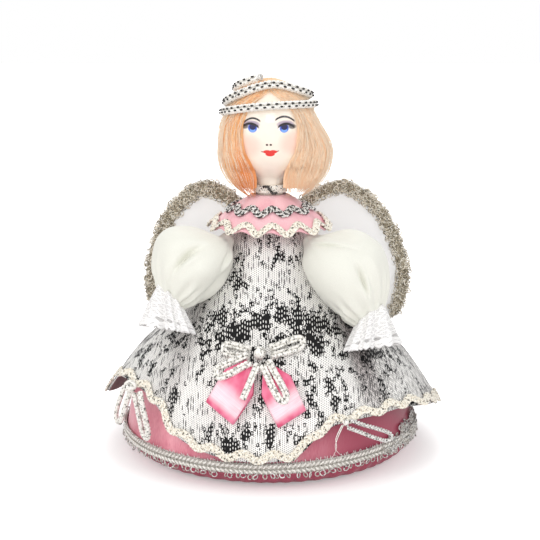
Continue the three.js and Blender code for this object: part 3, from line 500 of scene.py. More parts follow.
for _ in range(FRAY_LOOPS):
    share = dice.random()
    angle = math.radians(lerp(*FRAYED_DEGREES, share))
    z = lerp(GIMP_LOW_Z, GIMP_HIGH_Z + FRAY_RISE * share, dice.random()) + gimp_rise(angle)
    tilts = ((dice.uniform(-0.9, 0.9), "X"), (dice.uniform(-1.4, 1.4), "Y"))
    under = GIMP_RADIUS if z < GIMP_HIGH_Z + gimp_rise(angle) else body_radius(z)
    loops.append(placed(polar(under + GIMP_LOOP_LIFT, angle, z), angle, *tilts))
gimp = join(
    tape,
    repeated("gimp_stitches", stitch_model(2.9, 0.86, 0.8), stitches[::2], gimp_yarn),
    repeated("gimp_dark_stitches", stitch_model(2.8, 0.7, 0.72), stitches[1::2], gimp_dark_yarn),
    repeated("gimp_ticks", stitch_model(1.7, 0.34, 0.34), ticks, silver_yarn),
    repeated("gimp_loops", loop_model(1.05, 0.28), loops[::2], silver_yarn),
    repeated("gimp_dark_loops", loop_model(0.95, 0.26), loops[1::2], gimp_dark_yarn),
)
gimp.name = gimp.data.name = "silver_gimp"
belongs(gimp, "figure", "silver", "underskirt_galloon")

# The overdress is silver lame cut in a flare and gathered at the neck. It hangs free from the waist
# down and is caught up at the left and right of the front, so the pink underskirt shows below.
DRESS_TOP_Z = 103.9
DRESS_GAP = 1.7
DRESS_FOLDS = 14
FOLD_DEPTH = 1.8
LAME_THICK = 0.7
STITCH_WIDE = 1.05
STITCH_TALL = 1.6
DARK_BANDS = ((82, 8, 0.35, 0.0), (62, 9, 1.6, 0.7), (43, 9, 0.3, 0.0), (23, 8, 0.75, 0.0))
HEM = [
    (-180, 16, 69), (-120, 16, 70), (-90, 22, 68), (-72, 34.5, 64.5), (-57, 33.5, 62),
    (-44, 28.5, 62.5), (-36, 20.5, 63.5), (-26, 15.5, 63), (-13, 12.8, 62.8), (3, 12.8, 62.8),
    (10, 15, 62.8), (17, 22, 62.8), (24, 25.6, 62.8), (45, 28, 66), (57, 27, 68), (75, 22.5, 70),
    (90, 18.5, 70), (120, 16, 70), (180, 16, 69),
]
HEM_HEIGHTS = [(degrees, z) for degrees, z, radius in HEM]
HEM_RADII = [(degrees, radius) for degrees, z, radius in HEM]


def turned(angle):
    """The angle in degrees from -180 to 180."""
    return (math.degrees(angle) + 180) % 360 - 180


def hem_height(angle):
    return through(HEM_HEIGHTS, turned(angle))


def hem_radius(angle):
    return through(HEM_RADII, turned(angle))


def dress_base(z):
    return body_radius(z) + DRESS_GAP


def dress_radius(angle, z):
    """Outer radius of the overdress, which flares to its hem and falls in soft folds."""
    low = hem_height(angle)
    share = max((DRESS_TOP_Z - z) / (DRESS_TOP_Z - low), 0)
    flare = max(hem_radius(angle) - dress_base(low), 0)
    fold = FOLD_DEPTH * (1 - math.cos(DRESS_FOLDS * angle)) * flare / SKIRT_RADIUS * 2
    return dress_base(z) + (flare + fold) * share**3


def dress_at(angle, share):
    z = lerp(DRESS_TOP_Z, hem_height(angle), share)
    return polar(dress_radius(angle, z), angle, z)


def outward(surface, angle, share, step=0.01):
    """Which way is out of a surface given by an angle and a share."""
    across = surface(angle + step, share) - surface(angle - step, share)
    down = surface(angle, share + step) - surface(angle, share - step)
    return down.cross(across).normalized()


def lame():
    """Silver lame: white foil on black yarn. The yarn shows as dashes in upright patches. Painted shade
    and painted reflections darken the sides and the folds under the arms.
    """
    finish = new_finish("silver lame", Metallic=0.15, Specular_IOR_Level=0.25)
    x, y, z = finish.place()
    round_it = finish.maths("ARCTAN2", x, y * -1) * finish.maths("SQRT", x * x + y * y)

    def chance(first, second):
        """A number from 0 to 1 for each stitch, with no order in them."""
        where = finish.node("ShaderNodeCombineXYZ", None, {0: first, 1: second, 2: 0.0})
        return finish.node("ShaderNodeTexWhiteNoise", {"noise_dimensions": "2D"}, {"Vector": where})

    def oval(column, row, half_width, half_height):
        """An upright dot in the middle of each cell of a knit."""
        beside = (finish.maths("FRACT", column) - 0.5) / half_width
        above = (finish.maths("FRACT", row) - 0.5) / half_height
        return finish.step(beside * beside + above * above, 1.3, 0.6)

    column = round_it / STITCH_WIDE + 500
    lane = finish.maths("FLOOR", column)
    row = z / STITCH_TALL + chance(lane, 0.5) * 3
    luck = chance(lane, finish.maths("FLOOR", row))
    speck = oval(column, row, 0.19, 0.3) * finish.step(luck, 0.25, 0.27)
    fine_column = column * 1.45
    fine_lane = finish.maths("FLOOR", fine_column)
    fine_row = z / (STITCH_TALL * 0.48) + finish.maths("MODULO", fine_lane, 2.0) * 0.5
    pin_dot = oval(fine_column, fine_row, 0.28, 0.32)
    dash_row = z / (STITCH_TALL * 1.7) + chance(lane, 7.5) * 5
    dash_luck = chance(lane, finish.maths("FLOOR", dash_row) + 90)
    dash = oval(column, dash_row, 0.2, 0.48)

    patches = finish.cloudy(x * 0.24, y * 0.24, z * 0.075, 2.0)
    broad = finish.cloudy(x * 0.06 + 9, y * 0.06, z * 0.04)
    bands = 0
    middle = finish.step(abs(x), 30.0, 16.0)
    for height, half, strength, reach in DARK_BANDS:
        off = abs(z + abs(x) * 0.28 - height + (patches - 0.5) * 13) / half
        strong = strength * (1 - reach) + middle * (strength * reach)
        bands = bands + finish.step(1 - off, 0.0, 0.7) * strong
    black = finish.step(patches + bands * 0.13 + (luck - 0.5) * 0.22, 0.6, 0.61)
    high = finish.step(z, 60.0, 84.0)
    side = finish.step(abs(x), 26.0, 48.0)
    few = finish.step(dash_luck + (high + side) * 0.08 + (broad - 0.5) * 0.6, 0.72, 0.74)
    white = finish.mix(broad, ink(255, 255, 252), ink(238, 234, 230))
    streak = finish.cloudy(x * 1.3, y * 1.3, z * 0.1, 2.0)
    # Painted shade and painted reflections: the right side, and a little of the left, turn to streaks of
    # dark and white.
    side_shade = finish.step(x, 22.0, 46.0) * 0.45 + finish.step(x, -30.0, -60.0) * 0.12
    sheen = finish.step(streak, 0.38, 0.6)
    white = finish.mix(side_shade, white, finish.mix(sheen, ink(70, 63, 60), ink(255, 253, 250)))
    # Painted shade in the folds beside and under the arms, on the front only and stronger on the right.
    fold_x = 30 + finish.maths("MAXIMUM", 62 - z, 0.0) * 0.35
    under_arm_shade = finish.step(abs(abs(x) - fold_x), 7.0, 1.5) * finish.step(z, 18.0, 46.0)
    under_arm_shade = under_arm_shade * finish.step(z, 82.0, 66.0) * finish.step(y, 12.0, -4.0)
    fold_shade_colour = finish.mix(finish.step(streak, 0.35, 0.65), ink(62, 52, 52), ink(196, 186, 184))
    white = finish.mix(under_arm_shade * (0.4 + 0.45 * finish.step(x, -4.0, 4.0)), white, fold_shade_colour)
    open_knit = finish.mix(pin_dot * 0.7, white, ink(52, 48, 50))
    open_knit = finish.mix(dash * few * 0.92, open_knit, ink(26, 24, 26))
    dark_knit = finish.mix(speck, ink(12, 11, 13), white)
    return finish.done(
        Base_Color=finish.mix(black, open_knit, dark_knit),
        Roughness=0.3 + 0.25 * streak,
        Normal=finish.relief(speck, 0.12),
    )


silver_lame = lame()
wrong_side = plain_finish("lame wrong side", (150, 112, 112), (106, 74, 78), 0.8, 0.6)
dress = cloth("lame_overdress", 320, 80, all_round(dress_at), silver_lame, wrong_side)
thicken(dress, LAME_THICK, 1)
belongs(dress, "figure", "lame", "overdress")

# A cream braid in waves, plaited from five soft yarns, is sewn along the hem of the overdress. All
# of the yarns have dark flecks, and two of them have more than the rest.
BRAID_GAP = 0.3
BRAID_THICK = 1.1
BRAID_WIDTH = 3.4
BRAID_SWING = 1.5
BRAID_WAVE = 11.6
BRAID_INSET = 2.3
BRAID_YARNS = 5
BRAID_PITCH = 5.2
BRAID_HALF_THICK = 0.25
BRAID_STEPS = 26
HEM_BRAID_RADIUS = 61.5


def yarns(name, routes, radius, closed, material, sides=1, tapered=False):
    """Round yarns along routes in millimetres, as one mesh."""
    curve = bpy.data.curves.new(name, "CURVE")
    curve.dimensions = "3D"
    curve.bevel_depth = radius * MM
    curve.bevel_resolution = sides
    curve.use_fill_caps = not closed
    for route in routes:
        line = curve.splines.new("POLY")
        line.points.add(len(route) - 1)
        for i, place in enumerate(route):
            line.points[i].co = (*(place * MM), 1)
            line.points[i].radius = 1 - 0.75 * i / len(route) if tapered else 1
        line.use_cyclic_u = closed
        line.use_smooth = True
    piece = bpy.data.objects.new(name, curve)
    bpy.context.collection.objects.link(piece)
    activate(piece)
    bpy.ops.object.convert(target="MESH")
    piece = bpy.context.object
    piece.data.materials.clear()
    piece.data.materials.append(material)
    bpy.ops.object.shade_smooth()
    return piece


def frames(points, ups, closed):
    """Each point of a route with its sideways, its upwards and the length so far."""
    made = []
    run = 0
    for i, point in enumerate(points):
        before = points[i - 1] if closed or i else point
        after = points[(i + 1) % len(points)] if closed or i + 1 < len(points) else point
        along = (after - before).normalized()
        up = (ups[i] - along * ups[i].dot(along)).normalized()
        if i:
            run += (point - points[i - 1]).length
        made.append((point, along.cross(up), up, run))
    return made


def plait(points, ups, closed, strands, half_width, half_thick, pitch):
    """Routes of the strands of a flat plait."""
    laid = frames(points, ups, closed)
    total = laid[-1][3] + ((points[0] - points[-1]).length if closed else 0)
    turns = max(round(total / pitch), 1)
    routes = []
    for strand in range(strands):
        route = []
        for point, aside, up, run in laid:
            phase = math.tau * (turns * run / total + strand / strands)
            over = half_thick * math.sin((strands - 1) * phase)
            route.append(point + aside * (half_width * math.sin(phase)) + up * over)
        routes.append(route)
    return routes


def wavy_braid(name, surface, middle, slant, waves, light, dark, slot, node):
    """A plaited braid of light and dark yarns that swings about a line round the doll."""
    count = waves * BRAID_STEPS
    points, ups = [], []
    for i in range(count):
        angle = math.tau * i / count
        swing = BRAID_SWING * math.sin(waves * angle + math.pi / 4)
        share = middle - swing / slant
        up = outward(surface, angle, share)
        points.append(surface(angle, share) + up * (BRAID_GAP + BRAID_THICK / 2))
        ups.append(up)
    yarn = BRAID_WIDTH / (BRAID_YARNS + 1) / 1.4
    half_width = BRAID_WIDTH / 2 - yarn
    routes = plait(points, ups, True, BRAID_YARNS, half_width, BRAID_HALF_THICK, BRAID_PITCH)
    braid = join(
        yarns(name, routes[::2], yarn, True, light),
        yarns(name + "_dark", routes[1::2], yarn, True, dark),
    )
    belongs(braid, "figure", slot, node)


cream_yarn = yarn_finish("cream yarn", (255, 253, 245), (240, 231, 212), (84, 76, 60), 0.35, 0.0)
flecked_yarn = yarn_finish("flecked cream yarn", (250, 244, 232), (212, 200, 180), (58, 52, 42), 0.43, 0.0)
DRESS_SLANT = 112.5
wavy_braid(
    "cream_hem_braid",
    dress_at,
    1 - BRAID_INSET / DRESS_SLANT,
    DRESS_SLANT,
    round(math.tau * HEM_BRAID_RADIUS / BRAID_WAVE),
    cream_yarn,
    flecked_yarn,
    "cream",
    "overdress_hem_braid",
)

# The cape is a ring of paler pink satin that lies over the shoulders in ripples. A silver braid
# is sewn round its middle and a cream one along its edge.
CAPE_TOP_RADIUS = 6.7
CAPE_HEM_RADIUS = 24.5
CAPE_TOP_Z = 106.5
CAPE_DROP = 13.1
CAPE_DOME = 1.2
CAPE_RIPPLES = 13
CAPE_RIPPLE = 0.8
CAPE_BRAID_SHARE = 0.52
CAPE_SLANT = 22.0
CAPE_BRAID_WAVES = 11
CAPE_HEM_BRAID_INSET = 1.4


def cape_at(angle, share):
    ripple = CAPE_RIPPLE * share**2 * math.cos(CAPE_RIPPLES * angle)
    fall = CAPE_DROP * max(share, 0) ** CAPE_DOME
    return polar(lerp(CAPE_TOP_RADIUS, CAPE_HEM_RADIUS, share), angle, CAPE_TOP_Z - fall + ripple)


# The cape's painted shade on the right is its deep colour.
pale_satin = satin("pale pink satin", (252, 212, 216), (240, 176, 186), (240, 176, 186))
cape = cloth("satin_cape", 210, 20, all_round(cape_at), pale_satin)
thicken(cape, SATIN_THICK)
belongs(cape, "figure", "satin", "cape")
wavy_braid(
    "silver_cape_braid",
    cape_at,
    CAPE_BRAID_SHARE,
    CAPE_SLANT,
    CAPE_BRAID_WAVES,
    silver_yarn,
    plain_finish("black yarn", (62, 58, 56), (30, 28, 28), 0.4, 0.5),
    "silver",
    "cape_silver_braid",
)
wavy_braid(
    "cream_cape_braid",
    cape_at,
    1 - CAPE_HEM_BRAID_INSET / CAPE_SLANT,
    CAPE_SLANT,
    CAPE_RIPPLES,
    cream_yarn,
    flecked_yarn,
    "cream",
    "cape_hem_braid",
)

# A flat braid of cream yarn with dark flecks goes round the neck as a choker. A dark twisted cord
# is laid over its front in the shape of an S.
CHOKER_RADIUS = 6.55
CHOKER_Z = 108.8
CHOKER_HALF_WIDTH = 1.3
CHOKER_HALF_THICK = 0.3
CHOKER_YARN_RADIUS = 0.42
NECK_POINTS = 160
TWIST_RADIUS = 8.3
TWIST_PITCH = 1.8
PLY_OFFSET = 0.3
PLY_RADIUS = 0.32
CURVE_STEPS = 24
TWIST_ROUTE = [(-20, 1.2), (-8, 1.4), (0, 0), (8, -1.4), (20, -1.2)]


def twisted(points, ups, plies, radius, pitch):
    """Routes of the plies of a twisted cord."""
    laid = frames(points, ups, False)
    routes = []
    for ply in range(plies):
        route = []
        for point, aside, up, run in laid:
            phase = math.tau * (run / pitch + ply / plies)
            route.append(point + (aside * math.cos(phase) + up * math.sin(phase)) * radius)
        routes.append(route)
    return routes


def smooth_route(points, step=0.25):
    """Points a step apart on a smooth line through the given ones."""
    end = len(points) - 1
    fine = []
    for i in range(end):
        a, b, c, d = [points[min(max(i + k - 1, 0), end)] for k in range(4)]
        for k in range(CURVE_STEPS):
            t = k / CURVE_STEPS
            fine.append(
                (b * 2 + (c - a) * t + (a * 2 - b * 5 + c * 4 - d) * t**2
                 + (b * 3 - a - c * 3 + d) * t**3) / 2
            )
    fine.append(points[-1])
    runs = [0]
    for first, last in zip(fine, fine[1:]):
        runs.append(runs[-1] + (last - first).length)
    pieces = max(round(runs[-1] / step), 2)
    even = []
    at = 0
    for k in range(pieces + 1):
        goal = runs[-1] * k / pieces
        while at < len(runs) - 2 and runs[at + 1] < goal:
            at += 1
        share = (goal - runs[at]) / max(runs[at + 1] - runs[at], 1e-9)
        even.append(fine[at].lerp(fine[at + 1], min(share, 1)))
    return even


def outs(points, rise=0):
    """Outwards at each point, and up by rise over its distance from the middle."""
    return [Vector((point.x, point.y, rise)).normalized() for point in points]


neck_ring = [polar(CHOKER_RADIUS, math.tau * i / NECK_POINTS, CHOKER_Z) for i in range(NECK_POINTS)]
choker_yarn = yarn_finish("choker yarn", (255, 253, 246), (240, 232, 220), (48, 42, 36), 0.4, 0.0)
routes = plait(
    neck_ring, outs(neck_ring), True, BRAID_YARNS, CHOKER_HALF_WIDTH, CHOKER_HALF_THICK, BRAID_PITCH
)
choker = yarns("choker", routes, CHOKER_YARN_RADIUS, True, choker_yarn)
belongs(choker, "figure", "cream", "choker_braid")
dark_yarn = yarn_finish("dark silver yarn", (110, 106, 102), (44, 42, 40), (18, 17, 17), 0.45, 0.4)
front_twist = smooth_route(
    [polar(TWIST_RADIUS, math.radians(degrees), CHOKER_Z + rise) for degrees, rise in TWIST_ROUTE],
    step=0.2,
)
plies = twisted(front_twist, outs(front_twist), 2, PLY_OFFSET, TWIST_PITCH)
twist = yarns("choker_twist_cord", plies, PLY_RADIUS, False, dark_yarn)
belongs(twist, "figure", "silver", "choker_twist")

# The head is turned in wood, painted a shiny cream white, and has a neck and a peg that stands in
# the plug. The face is painted on by hand.
HEAD_FOOT_Z = 104.5
NECK_RADIUS = 5.4
PEG_RADIUS = 3.0
PEG_FOOT_Z = 90.2
HEAD_KEYS = [(113, 5.4), (119.9, 11.68), (127.95, 15.04), (136, 16)]
HEAD_WIDE_Z = 136.0
HEAD_RADIUS = 16.0
HEAD_TOP_Z = 152.6
HEAD_STEPS = 30
CHIN_STEPS = 38
CHIN_STEP = 0.6
EYES_Z = 134.6


def head_radius(z):
    if z > HEAD_WIDE_Z:
        rise = min((z - HEAD_WIDE_Z) / (HEAD_TOP_Z - HEAD_WIDE_Z), 1)
        return HEAD_RADIUS * math.sqrt(1 - rise**2)
    return through(HEAD_KEYS, z)


head_outline = []
for i in range(HEAD_STEPS + 1):
    angle = i * math.pi / (2 * HEAD_STEPS)
    z = HEAD_WIDE_Z + (HEAD_TOP_Z - HEAD_WIDE_Z) * math.cos(angle)
    head_outline.append((HEAD_RADIUS * math.sin(angle), z))
for i in range(1, CHIN_STEPS + 1):
    z = HEAD_WIDE_Z - i * CHIN_STEP
    head_outline.append((head_radius(z), z))
head_outline += [(NECK_RADIUS, z) for z in (111, 108, HEAD_FOOT_Z)]
head_outline += [(PEG_RADIUS, HEAD_FOOT_Z), (PEG_RADIUS, PEG_FOOT_Z), (0, PEG_FOOT_Z)]


def head_at(angle, down):
    radius, z = head_outline[round(down * (len(head_outline) - 1))]
    return polar(radius, angle, z)


def painted_face():
    finish = new_finish("painted face", Roughness=0.22, Coat_Weight=0.6, Coat_Roughness=0.08)
    x, y, z = finish.place()
    front = finish.step(y, 2.0, -2.0)

    def disc(middle_x, middle_z, half_x, half_z, soft):
        away = ((x - middle_x) / half_x) ** 2 + ((z - middle_z) / half_z) ** 2
        return finish.step(away, 1 + soft, 1 - soft)

    def arc(left, top, right, thick, soft):
        """A painted line through three points, which fades at its ends."""
        (x1, z1), (x2, z2), (x3, z3) = left, top, right
        a = ((z3 - z1) / (x3 - x1) - (z2 - z1) / (x2 - x1)) / (x3 - x2)
        b = (z2 - z1) / (x2 - x1) - a * (x2 + x1)
        c = z1 - a * x1**2 - b * x1
        off = abs(z - (x**2 * a + x * b + c))
        ends = finish.step(x, x1, x1 + 0.8) * finish.step(x, x3, x3 - 0.8)
        return finish.step(off, thick + soft, thick - soft) * ends

    cloud = finish.cloudy(x * 0.2, y * 0.2, z * 0.2)
    paint = finish.mix(cloud, ink(255, 246, 233), ink(252, 238, 222))

    def dab(colour, mask, strength=1):
        """Lays a colour over the paint so far."""
        nonlocal paint
        paint = finish.mix(mask * front * strength, paint, colour)

    for cheek_x, cheek_z in ((-8.8, 127.2), (9.2, 128.2)):
        dab(ink(250, 160, 138), disc(cheek_x, cheek_z, 5.0, 4.2, 0.98), 0.34)
    lilac, navy, jet = ink(150, 128, 166), ink(18, 18, 78), ink(26, 20, 28)
    for middle, outer in ((-6.95, -1), (5.65, 1)):
        lid = disc(middle + outer * 0.5, EYES_Z + 1.3, 3.3, 1.5, 0.5)
        lid = lid * finish.step(z, EYES_Z - 0.2, EYES_Z + 1.0)
        dab(lilac, lid, 0.75)
        dab(ink(250, 250, 252), disc(middle, EYES_Z - 0.3, 2.5, 1.3, 0.25), 0.85)
        below_lid = finish.step(z, EYES_Z + 1.55, EYES_Z + 1.2)
        dab(ink(58, 92, 206), disc(middle, EYES_Z - 0.15, 1.8, 1.8, 0.25) * below_lid)
        dab(ink(122, 170, 252), disc(middle, EYES_Z - 1.1, 1.2, 0.8, 0.6) * below_lid)
        dab(navy, disc(middle + 0.05, EYES_Z + 0.25, 1.3, 1.2, 0.3) * below_lid)
        dab(jet, disc(middle + outer * 3.2, EYES_Z + 0.35, 1.5, 0.95, 0.6), 0.8)
        low, high = sorted((middle - outer * 2.9, middle + outer * 4.4))
        lid_line = arc((low, EYES_Z - 0.1), (middle, EYES_Z + 1.5), (high, EYES_Z - 0.2), 0.5, 0.2)
        dab(jet, lid_line)
    for left, top, right in (
        ((-10.9, 136.0), (-7.1, 138.3), (-3.5, 136.9)),
        ((1.7, 137.4), (5.4, 139.0), (10.1, 136.7)),
    ):
        dab(ink(36, 32, 40), arc(left, top, right, 0.4, 0.2))
    for nostril in (-1.2, 0.3):
        dab(ink(70, 44, 42), disc(nostril, 127.8, 0.5, 0.42, 0.4))
    dab(ink(170, 40, 40), arc((-3.9, 125.2), (0, 124.6), (3.9, 125.5), 0.22, 0.15))
    scarlet = ink(232, 44, 36)
    for bow_x in (-1.15, 1.25):
        dab(scarlet, disc(bow_x, 124.95, 1.6, 0.72, 0.25))
    dab(scarlet, disc(0.05, 124.1, 1.9, 1.05, 0.25))
    return finish.done(Base_Color=paint)


head = cloth("painted_head", 96, len(head_outline) - 1, all_round(head_at), painted_face())
activate(head)
bpy.ops.object.shade_smooth_by_angle(angle=math.radians(40))
belongs(head, "head", "painted", "head")

# The hair is a mohair bob, parted in the middle and glued on in locks. It is coloured deeper orange on the
# left and paler on the right, with painted shade near the neck on the left, and its ends are loose.
HAIR_HEM_Z = 107.0
HAIR_TOP_Z = 153.6
HAIR_WIDE_Z = 125.0
HAIR_RADIUS = 22.0
HAIR_HEM_RADIUS = 13.4
HAIR_LEAST = 1.3
HAIR_LEAN = 2.2
LEAN_TOP_Z = 136.7
HAIR_HOLLOW_RADIUS = 10.2
FACE_OPENING = [
    (106, 6), (114, 6), (119.5, 7.8), (124.5, 10.3), (130, 11.1), (136, 11), (143.5, 7.1), (148.5, 0)
]
HAIR_LOCKS = 90
HAIR_CAP_THICK = 0.9
HAIR_FADE = 0.55
HAIR_STEPS = 10
HAIR_LIFTS = (0.1, 0.9)
HAIR_THICK = 0.15
WISP_LIFTS = (0.9, 2.4)
WISP_THICK = 0.07


def hair_radius(z):
    if z < HAIR_WIDE_Z:
        drop = (HAIR_WIDE_Z - z) / (HAIR_WIDE_Z - HAIR_HEM_Z)
        return HAIR_RADIUS - (HAIR_RADIUS - HAIR_HEM_RADIUS) * drop**2.6
    rise = min((z - HAIR_WIDE_Z) / (HAIR_TOP_Z - HAIR_WIDE_Z), 1)
    return max(HAIR_RADIUS * math.sqrt(1 - rise**1.3), head_radius(z) + HAIR_LEAST)


def hair_edge(z):
    """Radius and angle of the edge of the hair beside the face."""
    radius = head_radius(z) + 0.7
    if z < HAIR_WIDE_Z:
        radius = max(radius, HAIR_HOLLOW_RADIUS)
    return radius, math.asin(min(max(through(FACE_OPENING, z), 0) / radius, 1))


def hair_at(across, down, lift):
    """A point of the hair: across goes round from one side of the face to the other."""
    if down < 0.5:
        z = lerp(HAIR_WIDE_Z, HAIR_TOP_Z, math.cos(down * math.pi))
    else:
        z = lerp(HAIR_WIDE_Z, HAIR_HEM_Z, 2 * down - 1)
    edge_radius, edge = hair_edge(z)
    around = 2 * (math.pi - edge)
    fullness = math.sin(min(min(across, 1 - across) * around / HAIR_FADE, 1) * math.pi / 2)
    full = hair_radius(z)
    radius = lerp(min(edge_radius, full), full, fullness) + lift
    point = polar(max(radius, 0) * min(down / 0.02, 1), edge + across * around, z)
    fall = min(max((LEAN_TOP_Z - z) / (LEAN_TOP_Z - HAIR_WIDE_Z), 0), 1)
    point.x += HAIR_LEAN * fullness * fall * fall * (3 - 2 * fall)
    return point


def hair_cap_at(across, down):
    lock = math.sin(HAIR_LOCKS * across * math.pi + 3 * math.sin(17 * across))
    return hair_at(across, 0.93 * down, -0.9 + 0.25 * lock * math.sin(math.pi * down))


def mohair():
    finish = new_finish("mohair", Roughness=0.6)
    x, y, z = finish.place()
    streak = finish.cloudy(x * 1.1, y * 1.1, z * 0.08, 3.0)
    left = finish.step(x, 12.0, -14.0)
    # Painted shade: a strong orange near the neck on the left, where the hair lies in shadow.
    neck_shade = finish.step(abs(x), 18.0, 10.0) * finish.step(z, 132.0, 116.0)
    pale = finish.mix(streak, ink(255, 206, 158), ink(255, 238, 214))
    deep = finish.mix(streak, ink(255, 178, 108), ink(255, 224, 176))
    colour = finish.mix(left, pale, deep)
    colour = finish.mix(neck_shade * left * 0.8, colour, ink(242, 140, 58))
    return finish.done(Base_Color=colour)


def strands(name, count, low, high, lifts, thick, material, dice):
    """Single hairs, drawn together in locks towards their ends."""
    routes = []
    for _ in range(count):
        across = dice.uniform(low, high)
        lock = (math.floor(across * HAIR_LOCKS) + 0.5) / HAIR_LOCKS
        start = dice.uniform(0.03, 0.42)
        end = min(start + dice.uniform(0.35, 0.9), dice.uniform(0.88, 1.05))
        lift = dice.uniform(*lifts)
        sway = dice.uniform(0.001, 0.006)
        phase = dice.uniform(0, math.tau)
        route = []
        for k in range(HAIR_STEPS + 1):
            t = k / HAIR_STEPS
            place = lerp(across, lock, 0.55 * t) + sway * math.sin(phase + 6 * t)
            place = min(max(place, 0.0), 1.0)
            route.append(hair_at(place, lerp(start, end, t), -0.5 + lift * min(1, 3 * t)))
        routes.append(route)
    made = yarns(name, routes, thick, False, material, sides=0, tapered=True)
    belongs(made, "head", "hair")


wool = mohair()
cap = cloth("hair_cap", 260, 70, hair_cap_at, wool)
thicken(cap, HAIR_CAP_THICK)
belongs(cap, "head", "hair", "hair")
dice = random.Random(11)
for name, count, low, high in (
    ("hair_right", 900, 0.0, 0.3), ("hair_back", 1100, 0.3, 0.7), ("hair_left", 900, 0.7, 1.0)
):
    strands(name, count, low, high, HAIR_LIFTS, HAIR_THICK, wool, dice)
fluff = new_finish("loose mohair", Base_Color=ink(255, 238, 216), Roughness=0.8).material
strands("hair_wisps", 700, 0.0, 1.0, WISP_LIFTS, WISP_THICK, fluff, dice)

# A plaited white cord with short black stitches is wound twice round the head as a circlet. Its
# end runs up over the hair to a small silver knot.
CIRCLET_CORD_RADIUS = 1.4
CIRCLET_BRAID_RADIUS = 1.7
CIRCLET_GAP = 0.3
CIRCLET_CLIMB = [
    (0, 139.6), (0.25, 143.4), (0.5, 143), (0.75, 139.5), (1, 143.8), (1.25, 151.4), (1.5, 146.8),
    (1.75, 144.6), (2, 150.2), (2.12, 153.4),
]
CIRCLET_TURNS = CIRCLET_CLIMB[-1][0]
CIRCLET_STEPS = 120
CIRCLET_DOT_PITCH = 1.55
CIRCLET_KNOT = Vector((-4.0, -5.2, 153.9))
CIRCLET_KNOT_RADIUS = 1.6
CIRCLET_KNOT_YARN = 0.5
KNOT_POINTS = 20
CIRCLET_TILT = 2
CIRCLET_DOT_LEAN = 0.4


def circlet_at(turns):
    z = through(CIRCLET_CLIMB, turns)
    radius = hair_radius(z - CIRCLET_CORD_RADIUS) + CIRCLET_CORD_RADIUS + CIRCLET_GAP
    return polar(radius, math.tau * (turns - 0.25), z)


def round_plait(name, points, ups, radius, light, dark):
    """A cord plaited from four yarns, the last one with its own finish."""
    yarn = radius * 0.38
    routes = plait(points, ups, False, 4, radius - yarn, radius * 0.45, radius * 3.8)
    return join(
        yarns(name, routes[:3], yarn, False, light),
        yarns(name + "_dark", routes[3:], yarn, False, dark),
    )


def dots_along(points, ups, radius, pitch, lean):
    """Places of short stitches on a cord, in turn above and below its middle."""
    places = []
    side = 1
    goal = pitch / 2
    for point, aside, up, run in frames(points, ups, False):
        if run >= goal:
            goal += pitch
            side = -side
            along = up.cross(aside)
            out = up * math.cos(lean) + aside * (side * math.sin(lean))
            turn = Matrix((along, out, along.cross(out))).transposed().to_4x4()
            places.append(Matrix.Translation((point + out * radius) * MM) @ turn)
    return places


def knot(name, centre, radius, yarn, turns, material, seed):
    """A few turns of yarn, most of them upright, pulled tight to a ball."""
    dice = random.Random(seed)
    out = Vector((centre.x, centre.y, 0)).normalized()
    routes = []
    for _ in range(turns):
        first = (out + Vector([dice.gauss(0, 0.4) for _ in range(3)])).normalized()
        upright = Vector([dice.gauss(0, 0.35) for _ in range(3)]) + Vector((0, 0, 1))
        second = (upright - first * upright.dot(first)).normalized()
        route = []
        for k in range(KNOT_POINTS):
            angle = math.tau * k / KNOT_POINTS
            bulge = (radius - yarn) * (1 + 0.08 * math.sin(3 * angle + seed))
            route.append(centre + (first * math.cos(angle) + second * math.sin(angle)) * bulge)
        routes.append(route)
    return yarns(name, routes, yarn, True, material)


white_yarn = yarn_finish("white silver yarn", (255, 254, 250), (240, 236, 228), (60, 58, 54), 0.34, 0.0)
black_yarn = plain_finish("black stitches", (52, 48, 46), (24, 22, 22), 0.4, 0.5)
climb = [circlet_at(CIRCLET_TURNS * i / CIRCLET_STEPS) for i in range(CIRCLET_STEPS + 1)]
winding = smooth_route(climb, step=0.3)
winding_out = outs(winding, CIRCLET_TILT)
circlet = round_plait("circlet", winding, winding_out, CIRCLET_BRAID_RADIUS, white_yarn, white_yarn)
belongs(circlet, "head", "silver", "circlet_cord")
dot_radius = CIRCLET_BRAID_RADIUS * 0.88
places = dots_along(winding, winding_out, dot_radius, CIRCLET_DOT_PITCH, CIRCLET_DOT_LEAN)
dots = repeated("circlet_dots", stitch_model(1.5, 0.92, 0.9), places, black_yarn)
belongs(dots, "head", "silver")
top_knot = knot(
    "circlet_knot_yarn", CIRCLET_KNOT, CIRCLET_KNOT_RADIUS, CIRCLET_KNOT_YARN, 8, silver_yarn, 3
)
belongs(top_knot, "head", "silver", "circlet_knot")

